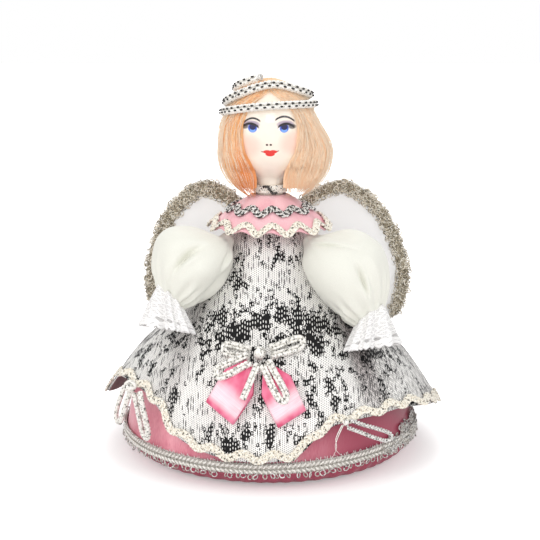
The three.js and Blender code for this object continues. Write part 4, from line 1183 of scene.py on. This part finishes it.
# The sleeves are ivory crepe, stuffed, gathered at the shoulder seam and drawn in at the wrist.
# They lie on the sides of the overdress.
SHOULDER_Z = 86.5
SHOULDER_RADIUS = 3.5
PUFF_STRETCH = 1.05
PUFF_BOW = 5.0
PADDING_GAP = 0.9
SLEEVE_PUFF = [(0, 4.4), (0.2, 11.7), (0.5, 14.4), (0.8, 11.6), (1, 6.6)]
ARMS = {
    "left": {"angle": -60, "wrist": (58, 13), "cuff": (-54, 49.5, 7.5), "facing": -28, "seed": 4},
    "right": {"angle": 54, "wrist": (53.3, 9.5), "cuff": (45, 45, 7.5), "facing": 26, "seed": 9},
}
SLEEVE_FOLDS = {
    "left": [
        (-2.2, 0.58, -0.6, 0.3, 0.18, 2.6),
        (-2.2, 0.6, -0.6, 0.09, 0.17, 3.2),
        (-0.85, 0.5, 0.0, 0.22, 0.3, 2.6),
        (-2.9, 0.12, 0.0, 0.7, 0.22, 2.6),
        (-1.35, 0.25, 0.6, 0.08, 0.14, 1.6),
    ],
    "right": [
        (2.2, 0.24, 2.1, 0.08, 0.14, 1.8),
        (2.7, 0.2, 0.0, 0.4, 0.16, 2.6),
        (2.42, 0.7, 0.0, 0.22, 0.12, 2.0),
        (2.38, 0.73, 0.0, 0.06, 0.13, 2.2),
        (2.75, 0.47, 0.0, 0.5, 0.08, 1.2),
    ],
}
CAPE_ROOM = {"left": Vector((-24.1, -10.6, 92)), "right": Vector((24.1, -10.6, 92))}
CAPE_ROOM_WIDE = 5.5
CAPE_ROOM_DEPTH = 2.4
SLEEVE_START = 0.08
SLEEVE_END = 0.95
SLEEVE_MODEL_SCALE = 20
SLEEVE_MOST_MOVE = 1.6
SLEEVE_SEAMS = (0.06, 0.94)
SLEEVE_LEAST_GAP = 0.5
GATHER_DEPTH = 0.07
WRIST_GATHER = 0.7
STUFFING = {
    "quality": 6,
    "mass": 0.25,
    "tension_stiffness": 20,
    "compression_stiffness": 20,
    "bending_stiffness": 0.4,
    "use_pressure": True,
    "uniform_pressure_force": 3.0,
    "shrink_min": -0.1,
    "vertex_group_mass": "seams",
}
STUFFING_GRAVITY = 0.15
STUFFING_FRAMES = 24


def off_dress(angle, z, lift):
    """A point off the overdress, square to it."""
    share = (DRESS_TOP_Z - z) / (DRESS_TOP_Z - hem_height(angle))
    return dress_at(angle, share) + outward(dress_at, angle, share, 0.001) * lift


def kept_off(point, gap):
    """The point, or the nearest place outwards that clears the overdress."""
    angle = math.atan2(point.x, -point.y)
    least = dress_radius(angle, point.z) + gap
    return point if math.hypot(point.x, point.y) >= least else polar(least, angle, point.z)


class Arm:
    """Where a sleeve starts, ends and lies."""

    def __init__(self, angle, wrist, cuff, facing, seed):
        self.angle = math.radians(angle)
        self.shoulder = off_dress(self.angle, SHOULDER_Z, SHOULDER_RADIUS + PADDING_GAP)
        self.wrist = off_dress(self.angle, *wrist)
        self.cuff_end = off_dress(math.radians(cuff[0]), *cuff[1:])
        self.facing = math.radians(facing)
        self.along = (self.wrist - self.shoulder).normalized()
        self.sideways = polar(1, self.angle + math.pi / 2, 0)
        self.away = self.sideways.cross(self.along).normalized()
        self.seed = seed

    def reach(self, point):
        """Share of the way from the shoulder to the wrist."""
        return (point - self.shoulder).dot(self.along) / (self.wrist - self.shoulder).length

    def sleeve_at(self, turn, down):
        if down < SLEEVE_START:
            bend = down / SLEEVE_START * math.pi / 2
            centre = self.shoulder - self.along * (SHOULDER_RADIUS * math.cos(bend))
            radius = SLEEVE_PUFF[0][1] * math.sin(bend)
            stretch = 1
        else:
            reach = min((down - SLEEVE_START) / (SLEEVE_END - SLEEVE_START), 1)
            puff = math.sin(math.pi * reach)
            centre = self.shoulder.lerp(self.wrist, reach) - self.away * (PUFF_BOW * puff)
            gather = math.exp(-reach / 0.13) + math.exp((reach - 1) / 0.1)
            radius = through(SLEEVE_PUFF, reach)
            radius *= 1 + GATHER_DEPTH * gather * math.sin(17 * turn + 2 * math.sin(3 * turn + self.seed))
            radius *= max(1 - max(down - SLEEVE_END, 0) / (1 - SLEEVE_END), 0)
            stretch = lerp(1, PUFF_STRETCH, puff)
        out = self.away * (radius * math.cos(turn))
        point = centre + out - self.sideways * (radius * stretch * math.sin(turn))
        return kept_off(point, PADDING_GAP)


def stuff(piece, arm):
    """Blows the cloth up over its stuffing, with some cloth to spare, so that it creases."""
    base = [vertex.co.copy() for vertex in piece.data.vertices]
    piece.data.transform(Matrix.Scale(SLEEVE_MODEL_SCALE, 4))
    seams = piece.vertex_groups.new(name="seams")
    for vertex in piece.data.vertices:
        reach = arm.reach(vertex.co / SLEEVE_MODEL_SCALE / MM)
        if not SLEEVE_SEAMS[0] <= reach <= SLEEVE_SEAMS[1]:
            seams.add([vertex.index], 1.0, "REPLACE")
    made = piece.modifiers.new("stuffing", "CLOTH")
    assign(made.settings, STUFFING)
    made.settings.effector_weights.gravity = STUFFING_GRAVITY
    made.collision_settings.use_collision = False
    made.point_cache.frame_start = 1
    made.point_cache.frame_end = STUFFING_FRAMES
    for number in range(1, STUFFING_FRAMES + 1):
        scene.frame_set(number)
    activate(piece)
    bpy.ops.object.modifier_apply(modifier=made.name)
    scene.frame_set(1)
    piece.data.transform(Matrix.Scale(1 / SLEEVE_MODEL_SCALE, 4))
    for vertex, first in zip(piece.data.vertices, base):
        move = vertex.co - first
        if move.length > SLEEVE_MOST_MOVE * MM:
            move *= SLEEVE_MOST_MOVE * MM / move.length
        move *= math.sin(math.pi * min(max(arm.reach(first / MM), 0), 1))
        vertex.co = kept_off((first + move) / MM, SLEEVE_LEAST_GAP) * MM
    piece.vertex_groups.clear()


def crease(piece, arm, folds, room):
    """Presses folds into a sleeve, each with a ridge beside it, and room to lift below the cape."""
    for vertex in piece.data.vertices:
        point = vertex.co / MM
        reach = arm.reach(point)
        puff = math.sin(math.pi * min(max(reach, 0), 1))
        out = point - arm.shoulder.lerp(arm.wrist, reach) + arm.away * (PUFF_BOW * puff)
        turn = math.atan2(-out.dot(arm.sideways), out.dot(arm.away))
        gather = math.exp(-(((reach - 0.9) / 0.13) ** 2))
        press = WRIST_GATHER * gather * math.sin(13 * turn + 2 * math.sin(3 * turn + arm.seed))
        for fold_turn, fold_reach, slant, width, tall, depth in folds:
            off = turn - fold_turn - slant * (reach - fold_reach)
            off = ((off + math.pi) % math.tau - math.pi) / width
            fade = math.exp(-(((reach - fold_reach) / tall) ** 2))
            press += depth * fade * (math.exp(-(off**2)) - 0.4 * math.exp(-((off - 2) ** 2)))
        press += CAPE_ROOM_DEPTH * math.exp(-(((point - room).length / CAPE_ROOM_WIDE) ** 2))
        vertex.co = kept_off(point - out.normalized() * press, SLEEVE_LEAST_GAP) * MM


def crepe():
    finish = new_finish("ivory crepe", Roughness=0.62, Sheen_Weight=0.2)
    x, y, z = finish.place()
    grain = finish.cloudy(x * 2.6, y * 2.6, z * 2.6, 3.0)
    colour = finish.mix(grain, ink(225, 225, 214), ink(236, 236, 227))
    return finish.done(Base_Color=colour, Normal=finish.relief(grain, 0.1))


ivory = crepe()
arms = {side: Arm(**facts) for side, facts in ARMS.items()}
for side, arm in arms.items():
    sleeve = cloth(f"{side}_stuffed_sleeve", 60, 52, all_round(arm.sleeve_at), ivory)
    stuff(sleeve, arm)
    modify(sleeve, "SUBSURF", levels=2, render_levels=2)
    crease(sleeve, arm, SLEEVE_FOLDS[side], CAPE_ROOM[side])
    belongs(sleeve, f"{side}_arm", "crepe", f"{side}_sleeve", f"{side}_sleeve_wadding")

# A frill of white lace is gathered round each wrist and hangs down. The lace is a net with a row
# of eyelets and two firm lines along its scalloped edge.
CUFF_TOP_RADIUS = 7.2
CUFF_RADIUS = 10.2
CUFF_DEPTH = 6.5
CUFF_LEVEL = 0.7
CUFF_FLUTES = 8
CUFF_FLUTE_DEPTH = 1.9
CUFF_CRINKLE = 0.75
CUFF_SCALLOP = 0.03
EYELET_PITCH = 4.4
EYELET_RADIUS = 1.15
EYELET_HEIGHT = 5.2
CUFF_START = -0.8
CUFF_LENGTH_SHARE = 0.9
LACE_THICK = 0.25
LACE_AROUND = 58.0
LACE_DEEP = 24.0


def cuff_at(arm, turn, down):
    share = CUFF_LENGTH_SHARE * down * (1 + CUFF_SCALLOP * math.cos(3 * CUFF_FLUTES * turn) * down**4)
    centre = (arm.wrist + arm.along * CUFF_START).lerp(arm.cuff_end, share)
    facing = lerp(arm.angle, arm.facing, share)
    out = arm.away.lerp(polar(-1, facing, 0), CUFF_LEVEL * share).normalized()
    aside = polar(1, facing + math.pi / 2, 0)
    wave = math.cos(CUFF_FLUTES * turn) + 0.6 * math.cos(5 * turn + arm.seed)
    flute = CUFF_FLUTE_DEPTH * (0.35 + 0.65 * share) * wave
    flute += CUFF_CRINKLE * down**2 * math.cos(23 * turn + 2 * math.sin(4 * turn + arm.seed))
    bell = math.sin(min(share, 1) * math.pi / 2)
    depth = lerp(CUFF_TOP_RADIUS, CUFF_DEPTH, bell) + flute
    width = lerp(CUFF_TOP_RADIUS, CUFF_RADIUS, bell) + flute
    point = centre + out * (depth * math.cos(turn)) - aside * (width * math.sin(turn))
    return kept_off(point, PADDING_GAP - 0.2)


def lace():
    finish = new_finish("white lace", Roughness=0.7)
    across, up = finish.cut()
    x = across * LACE_AROUND
    y = up * LACE_DEEP

    def cells(value, size):
        """Distance from the middle of the nearest cell, in cells."""
        return abs(finish.maths("FRACT", value / size) - 0.5)

    net = finish.maths("MAXIMUM", cells(x + y, 1.1), cells(x - y, 1.1))
    thread = finish.step(net, 0.3, 0.42)
    where = finish.node("ShaderNodeCombineXYZ", None, {0: x / 2.5, 1: y / 2.2, 2: 0.0})
    settings = {"feature": "DISTANCE_TO_EDGE", "voronoi_dimensions": "2D"}
    inside = finish.node("ShaderNodeTexVoronoi", settings, {"Vector": where, "Scale": 1.0})
    cover = finish.maths("MAXIMUM", 0.68 + 0.2 * thread, finish.step(inside, 0.22, 0.1))
    beside = cells(x, EYELET_PITCH) * EYELET_PITCH
    from_eyelet = finish.maths("SQRT", beside * beside + (y - EYELET_HEIGHT) * (y - EYELET_HEIGHT))
    cover = cover * (0.3 + 0.7 * finish.step(from_eyelet, EYELET_RADIUS * 0.8, EYELET_RADIUS))
    for line in (0.9, 3.0):
        cover = finish.maths("MAXIMUM", cover, finish.step(abs(y - line), 0.75, 0.5))
    colour = finish.mix(thread, ink(238, 237, 236), ink(250, 249, 248))
    return finish.done(Base_Color=colour, Alpha=cover)


white_lace = lace()
for side, arm in arms.items():
    cuff = cloth(f"{side}_lace_cuff", 200, 36, all_round(partial(cuff_at, arm)), white_lace)
    thicken(cuff, LACE_THICK)
    belongs(cuff, f"{side}_arm", "cream", f"{side}_cuff")

# The wings stand behind the cape: a white cloth on a bent wire, edged with silver tinsel gimp. The
# legs of the wires stick in channels of a felt tab sewn to the back of the overdress.
WING_OUTLINE = [
    (8, 96), (16, 103), (26, 108), (35, 107), (46, 98), (53, 86), (57, 72), (57.5, 60), (53, 48),
    (46, 52), (38, 66), (24, 76), (12, 82),
]
WING_REACH = {"left": 0.94, "right": 1.06}
WING_FRONT_Y = 27.0
WING_CLOTH_THICK = 0.5
WIRE_Y = 28.4
WIRE_RADIUS = 0.6
WIRE_INSET = 1.2
WING_HINGE_X = 5.5
TAB_LOW_Z = 72.95
WIRE_LEG_HEIGHTS = (TAB_LOW_Z + 0.3, 81.5, 89, 91)
TINSEL_Y = 25.9
TINSEL_HALF_WIDTH = {"left": 3.25, "right": 2.7}
TINSEL_EDGE = 0.8
TINSEL_YARN_RADIUS = 0.42
TINSEL_PITCH = 6.0
TINSEL_LOOP = (1.1, 0.2)
RIM_CLOSING = 12
TINSEL_SHARE = 0.66
TINSEL_LOOPS = 620
WING_MIDDLE = Vector((36, WING_FRONT_Y, 82))


def wing_inwards(points, i, mirror):
    """Which way is into the wing at a point of its outline."""
    ahead = points[min(i + 1, len(points) - 1)] - points[max(i - 1, 0)]
    return Vector((ahead.z, 0, -ahead.x)).normalized() * mirror


felt = plain_finish("white felt", (236, 232, 226), (214, 208, 200), 0.5, 0.95)
paint_node("back_tab", felt)
steel = new_finish("steel wire", Base_Color=ink(176, 176, 178), Metallic=1.0, Roughness=0.35).material
tinsel_yarn = yarn_finish("tinsel", (255, 252, 242), (226, 212, 188), (80, 70, 56), 0.38, 0.0)
dark_tinsel = yarn_finish("dark tinsel", (196, 186, 164), (140, 128, 106), (60, 53, 42), 0.4, 0.05)
wing_cloth = new_finish(
    "wing cloth",
    Base_Color=ink(255, 254, 252),
    Roughness=0.7,
    Subsurface_Weight=0.7,
    Subsurface_Scale=0.004,
    Subsurface_Radius=(1.0, 1.0, 1.0),
).material
dice = random.Random(21)
for side, mirror in (("left", -1), ("right", 1)):
    outline = [
        Vector((mirror * lerp(WING_HINGE_X, x, WING_REACH[side]), WING_FRONT_Y, z))
        for x, z in WING_OUTLINE
    ]
    rim = smooth_route(outline, step=1.0)
    half = TINSEL_HALF_WIDTH[side]
    middle = Vector((mirror * WING_MIDDLE.x, WING_MIDDLE.y, WING_MIDDLE.z))
    closed_rim = rim + [rim[-1].lerp(rim[0], k / RIM_CLOSING) for k in range(1, RIM_CLOSING + 1)]

    def wing_at(across, down):
        place = (1 - across if mirror < 0 else across) * (len(closed_rim) - 1)
        first = math.floor(min(place, len(closed_rim) - 2))
        edge = closed_rim[first].lerp(closed_rim[first + 1], place - first)
        return middle.lerp(edge, down)

    membrane = cloth(f"{side}_wing_cloth", 130, 14, wing_at, wing_cloth)
    thicken(membrane, WING_CLOTH_THICK)
    belongs(membrane, f"{side}_wing", "crepe", f"{side}_wing_membrane")

    rimmed = rim[: round(TINSEL_SHARE * len(rim))]
    band = []
    for i, point in enumerate(rimmed):
        line = point + wing_inwards(rim, i, mirror) * half
        band.append(Vector((line.x, TINSEL_Y, line.z)))
    fine = smooth_route(band, step=0.5)
    facing = [Vector((0, -1, 0))] * len(fine)
    cords = plait(fine, facing, False, BRAID_YARNS, half - TINSEL_EDGE, BRAID_HALF_THICK, TINSEL_PITCH)
    # The base cords are dark tinsel: partly the tinsel's own darker strands, partly painted shade in the
    # gaps between the loops.
    tinsel = yarns(f"{side}_tinsel", cords, TINSEL_YARN_RADIUS, False, dark_tinsel)
    places = []
    spots = frames(fine, facing, False)
    for _ in range(TINSEL_LOOPS):
        point, aside, up, run = dice.choice(spots)
        off = dice.choice((-1, 1)) * half * dice.uniform(0.1, 1.08)
        spot = point + aside * off + up * dice.uniform(-0.6, 0.7)
        tilts = ((dice.uniform(-1, 1), "X"), (dice.uniform(-1, 1), "Y"))
        places.append(placed(spot, dice.uniform(-0.9, 0.9), *tilts))
    for colour, some, material in (
        ("dark", places[::5], dark_tinsel),
        ("light", [place for i, place in enumerate(places) if i % 5], tinsel_yarn),
    ):
        fringe = repeated(f"{side}_{colour}_tinsel", loop_model(*TINSEL_LOOP), some, material)
        tinsel = join(tinsel, fringe)
    belongs(tinsel, f"{side}_wing", "silver", f"{side}_wing_tinsel")

    bent = [Vector((point.x, WIRE_Y, point.z)) for point in outline]
    bent = [point + wing_inwards(bent, i, mirror) * WIRE_INSET for i, point in enumerate(bent)]
    leg = [Vector((mirror * WING_HINGE_X, WIRE_Y, z)) for z in WIRE_LEG_HEIGHTS]
    wire = yarns(f"{side}_wire", [smooth_route(leg + bent, step=1.0)], WIRE_RADIUS, False, steel, 2)
    belongs(wire, f"{side}_wing", "wire", f"{side}_wing_wire")

# The bow on the front of the overdress: two loops of pink satin ribbon under four loops and a tail
# of plaited silver cord, all held by a knot that is sewn on.
BOW_BRAID_RADIUS = 1.5
BOW_TILT = 18
LOOP_HALF_WIDTH = 1.5
RIBBON_WIDTH = 12.0
RIBBON_THICK = 0.3
RIBBON_RISE = 2.0
RIBBON_PINCH = 3.6
RIBBON_SPREAD = 0.35
RIBBON_PUFF = 0.9
RIBBON_GATHER = 0.3
FRONT_KNOT = (-3.7, 49)
FRONT_KNOT_RADIUS = 2.6
FRONT_RIBBONS = {
    "front_bow_ribbon_left": ((-7.2, 45.6), (-18.4, 29.4)),
    "front_bow_ribbon_right": ((-1, 44.8), (8.2, 28.2)),
}
FRONT_LOOPS = {
    "front_bow_loop_upper_left": ((-7.9, 49.4), (-17.5, 50.4), 1.6),
    "front_bow_loop_upper_right": ((0.5, 50), (12.6, 53), 1.6),
    "front_bow_loop_lower_left": ((-7.6, 46.6), (-19.4, 41.4), 4.7),
    "front_bow_loop_lower_right": ((-1.6, 45.4), (5.3, 34), 4.7),
}
FRONT_TAIL = ((-4.6, 45), (-9.6, 34.6), 4.7)
LOOP_ROUTE = [
    (0, -0.9), (0.3, -0.95), (0.6, -1.1), (0.9, -0.95), (1, 0), (0.9, 0.95), (0.6, 1.1),
    (0.3, 0.95), (0, 0.9),
]


def on_dress(x, z, lift):
    """A point off the overdress at a distance right and a height."""
    angle = 0
    for _ in range(8):
        angle = math.asin(x / dress_radius(angle, z))
    return off_dress(angle, z, lift)


def ribbon_loop_at(start, tip, across, down):
    """A ribbon that runs out from the knot, turns over and comes back on top."""
    start, tip = Vector(start), Vector(tip)
    length = (tip - start).length
    ahead = (tip - start).normalized()
    aside = Vector((-ahead.y, ahead.x))
    turn_radius = RIBBON_RISE / 2
    straight = length - turn_radius
    whole = 2 * straight + math.pi * turn_radius
    run = down * whole
    bend = min(max((run - straight) / turn_radius, 0), math.pi)
    distance = min(run, straight) if bend < math.pi else max(whole - run, 0)
    width = lerp(RIBBON_PINCH, RIBBON_WIDTH, min(distance / (RIBBON_SPREAD * length), 1))
    off = (across - 0.5) * width
    puff = RIBBON_PUFF * math.sin(math.pi * distance / length) * (1 - math.cos(bend)) / 2
    gather = RIBBON_GATHER * math.cos(5 * math.pi * across) * (1 - distance / length)
    place = start + ahead * (distance + turn_radius * math.sin(bend)) + aside * off
    lift = PADDING_GAP + 0.25 + turn_radius * (1 - math.cos(bend)) + puff + gather
    return on_dress(place.x, place.y, lift)


def loop_places(start, tip, half_width):
    start, tip = Vector(start), Vector(tip)
    aside = Vector((start.y - tip.y, tip.x - start.x)).normalized()
    return [start.lerp(tip, share) + aside * (swing * half_width) for share, swing in LOOP_ROUTE]


def ribbon_silk():
    """Pink satin ribbon with fine ribs across and a painted white highlight where it is about to turn
    over.
    """
    finish = new_finish("ribbon satin", Roughness=0.3)
    across, up = finish.cut()
    ribs = finish.cloudy(across * 1.5, up * 120, 0.0)
    tone = finish.cloudy(across * 2, up * 5, 4.0)
    pink = finish.mix(finish.step(tone, 0.35, 0.65), ink(218, 76, 117), ink(242, 138, 168))
    # Painted highlight: a white band where the ribbon bulges before it turns over.
    painted_highlight = finish.step(up, 0.2, 0.34) * finish.step(up, 0.47, 0.4)
    colour = finish.mix(painted_highlight * (0.42 + 0.6 * ribs), pink, ink(255, 238, 244))
    return finish.done(Base_Color=colour, Normal=finish.relief(ribs, 0.1))


ribbon_satin = ribbon_silk()
for name, (start, tip) in FRONT_RIBBONS.items():
    folded = partial(ribbon_loop_at, start, tip)
    ribbon = cloth(name + "_cloth", 14, 64, folded, ribbon_satin, is_ring=False)
    thicken(ribbon, RIBBON_THICK)
    belongs(ribbon, "figure", "satin", name)
flecked = yarn_finish("flecked silver yarn", (236, 234, 227), (176, 173, 166), (44, 43, 39), 0.44, 0.05)
for name, (start, tip, lift) in FRONT_LOOPS.items():
    points = [on_dress(*place, lift) for place in loop_places(start, tip, LOOP_HALF_WIDTH)]
    route = smooth_route(points)
    up = outs(route, BOW_TILT)
    loop = round_plait(name + "_cord", route, up, BOW_BRAID_RADIUS, white_yarn, flecked)
    belongs(loop, "figure", "silver", name)
start, tip, lift = FRONT_TAIL
route = smooth_route(
    [on_dress(lerp(start[0], tip[0], t), lerp(start[1], tip[1], t), lift) for t in (0, 0.5, 1)]
)
up = outs(route, BOW_TILT)
tail = round_plait("front_bow_tail_cord", route, up, BOW_BRAID_RADIUS, white_yarn, flecked)
belongs(tail, "figure", "silver", "front_bow_tail")
centre = on_dress(*FRONT_KNOT, FRONT_KNOT_RADIUS + BRAID_GAP)
bow_knot = join(
    knot("front_bow_knot_yarn", centre, FRONT_KNOT_RADIUS, 0.8, 6, white_yarn, 8),
    knot("front_bow_knot_flecks", centre, FRONT_KNOT_RADIUS, 0.7, 2, flecked, 3),
)
belongs(bow_knot, "figure", "silver", "front_bow_knot")

# Where the hem is caught up, cord bows hang over the satin: two loops of thick plaited cord on the
# left and one loop of thin twisted cord with loose threads on the right.
LEFT_CORD_RADIUS = 1.25
LEFT_KNOT = (-57, 34.4)
RIGHT_CORD_RADIUS = 0.9
RIGHT_CORD_PITCH = 2.6
RIGHT_KNOT = (26, 27)
SIDE_LOOPS = {
    "left_bow_loop_1": (LEFT_KNOT, (-2.9, -2), (-67, 17), 2.0, LEFT_CORD_RADIUS),
    "left_bow_loop_2": (LEFT_KNOT, (2.9, -2), (-48, 15.6), 2.0, LEFT_CORD_RADIUS),
    "right_bow_loop": (RIGHT_KNOT, (1.3, -0.7), (43, 18), 1.6, RIGHT_CORD_RADIUS),
}
SIDE_KNOTS = {"left_bow_knot": (LEFT_KNOT, 2.6, 5), "right_bow_knot": (RIGHT_KNOT, 1.3, 6)}
RIGHT_THREADS = [
    [(25, 26), (22.8, 21), (23, 17), (21.2, 12.8)],
    [(25.5, 26), (23.4, 21), (22.6, 17), (24.6, 14)],
]
THREAD_RADIUS = 0.2


def side_point(angle, z, radius):
    """A point over the hem braid or the satin, whichever is further out."""
    under = max(dress_radius(angle, max(z, hem_height(angle))), body_radius(z))
    return polar(under + BRAID_THICK + 2 * BRAID_GAP + radius, angle, z)


def side_route(knot_place, start, tip, half_width, radius):
    first = (math.radians(knot_place[0]) * SKIRT_RADIUS + start[0], knot_place[1] + start[1])
    last = (math.radians(tip[0]) * SKIRT_RADIUS, tip[1])
    points = [
        side_point(place.x / SKIRT_RADIUS, place.y, radius)
        for place in loop_places(first, last, half_width)
    ]
    return smooth_route(points)


def hang(route):
    """Works out the length and some points of a loop of cord, and does nothing with them."""
    length = sum((after - before).length for before, after in zip(route, route[1:]))
    route[0] * MM
    [point * MM for point in route[::2] + [route[-1]]]


for name, (knot_place, start, tip, half_width, radius) in SIDE_LOOPS.items():
    route = side_route(knot_place, start, tip, half_width, radius)
    up = outs(route, BOW_TILT)
    if knot_place == LEFT_KNOT:
        loop = round_plait(name + "_cord", route, up, radius, white_yarn, flecked)
    else:
        plies = twisted(route, up, 2, radius / 2, RIGHT_CORD_PITCH)
        loop = yarns(name + "_cord", plies, radius / 2, False, silver_yarn)
    belongs(loop, "figure", "silver", name)
    hang(route)
for name, ((degrees, z), radius, seed) in SIDE_KNOTS.items():
    centre = side_point(math.radians(degrees), z, radius)
    tied = join(
        knot(name + "_yarn", centre, radius, radius * 0.32, 5, white_yarn, seed),
        knot(name + "_flecks", centre, radius * 0.96, radius * 0.3, 4, flecked, seed + 10),
    )
    if name == "right_bow_knot":
        ends = [
            smooth_route([side_point(math.radians(a), z, THREAD_RADIUS) for a, z in places], step=0.4)
            for places in RIGHT_THREADS
        ]
        threads = yarns("loose_threads", ends, THREAD_RADIUS, False, white_yarn, tapered=True)
        tied = join(tied, threads)
    belongs(tied, "figure", "silver", name)
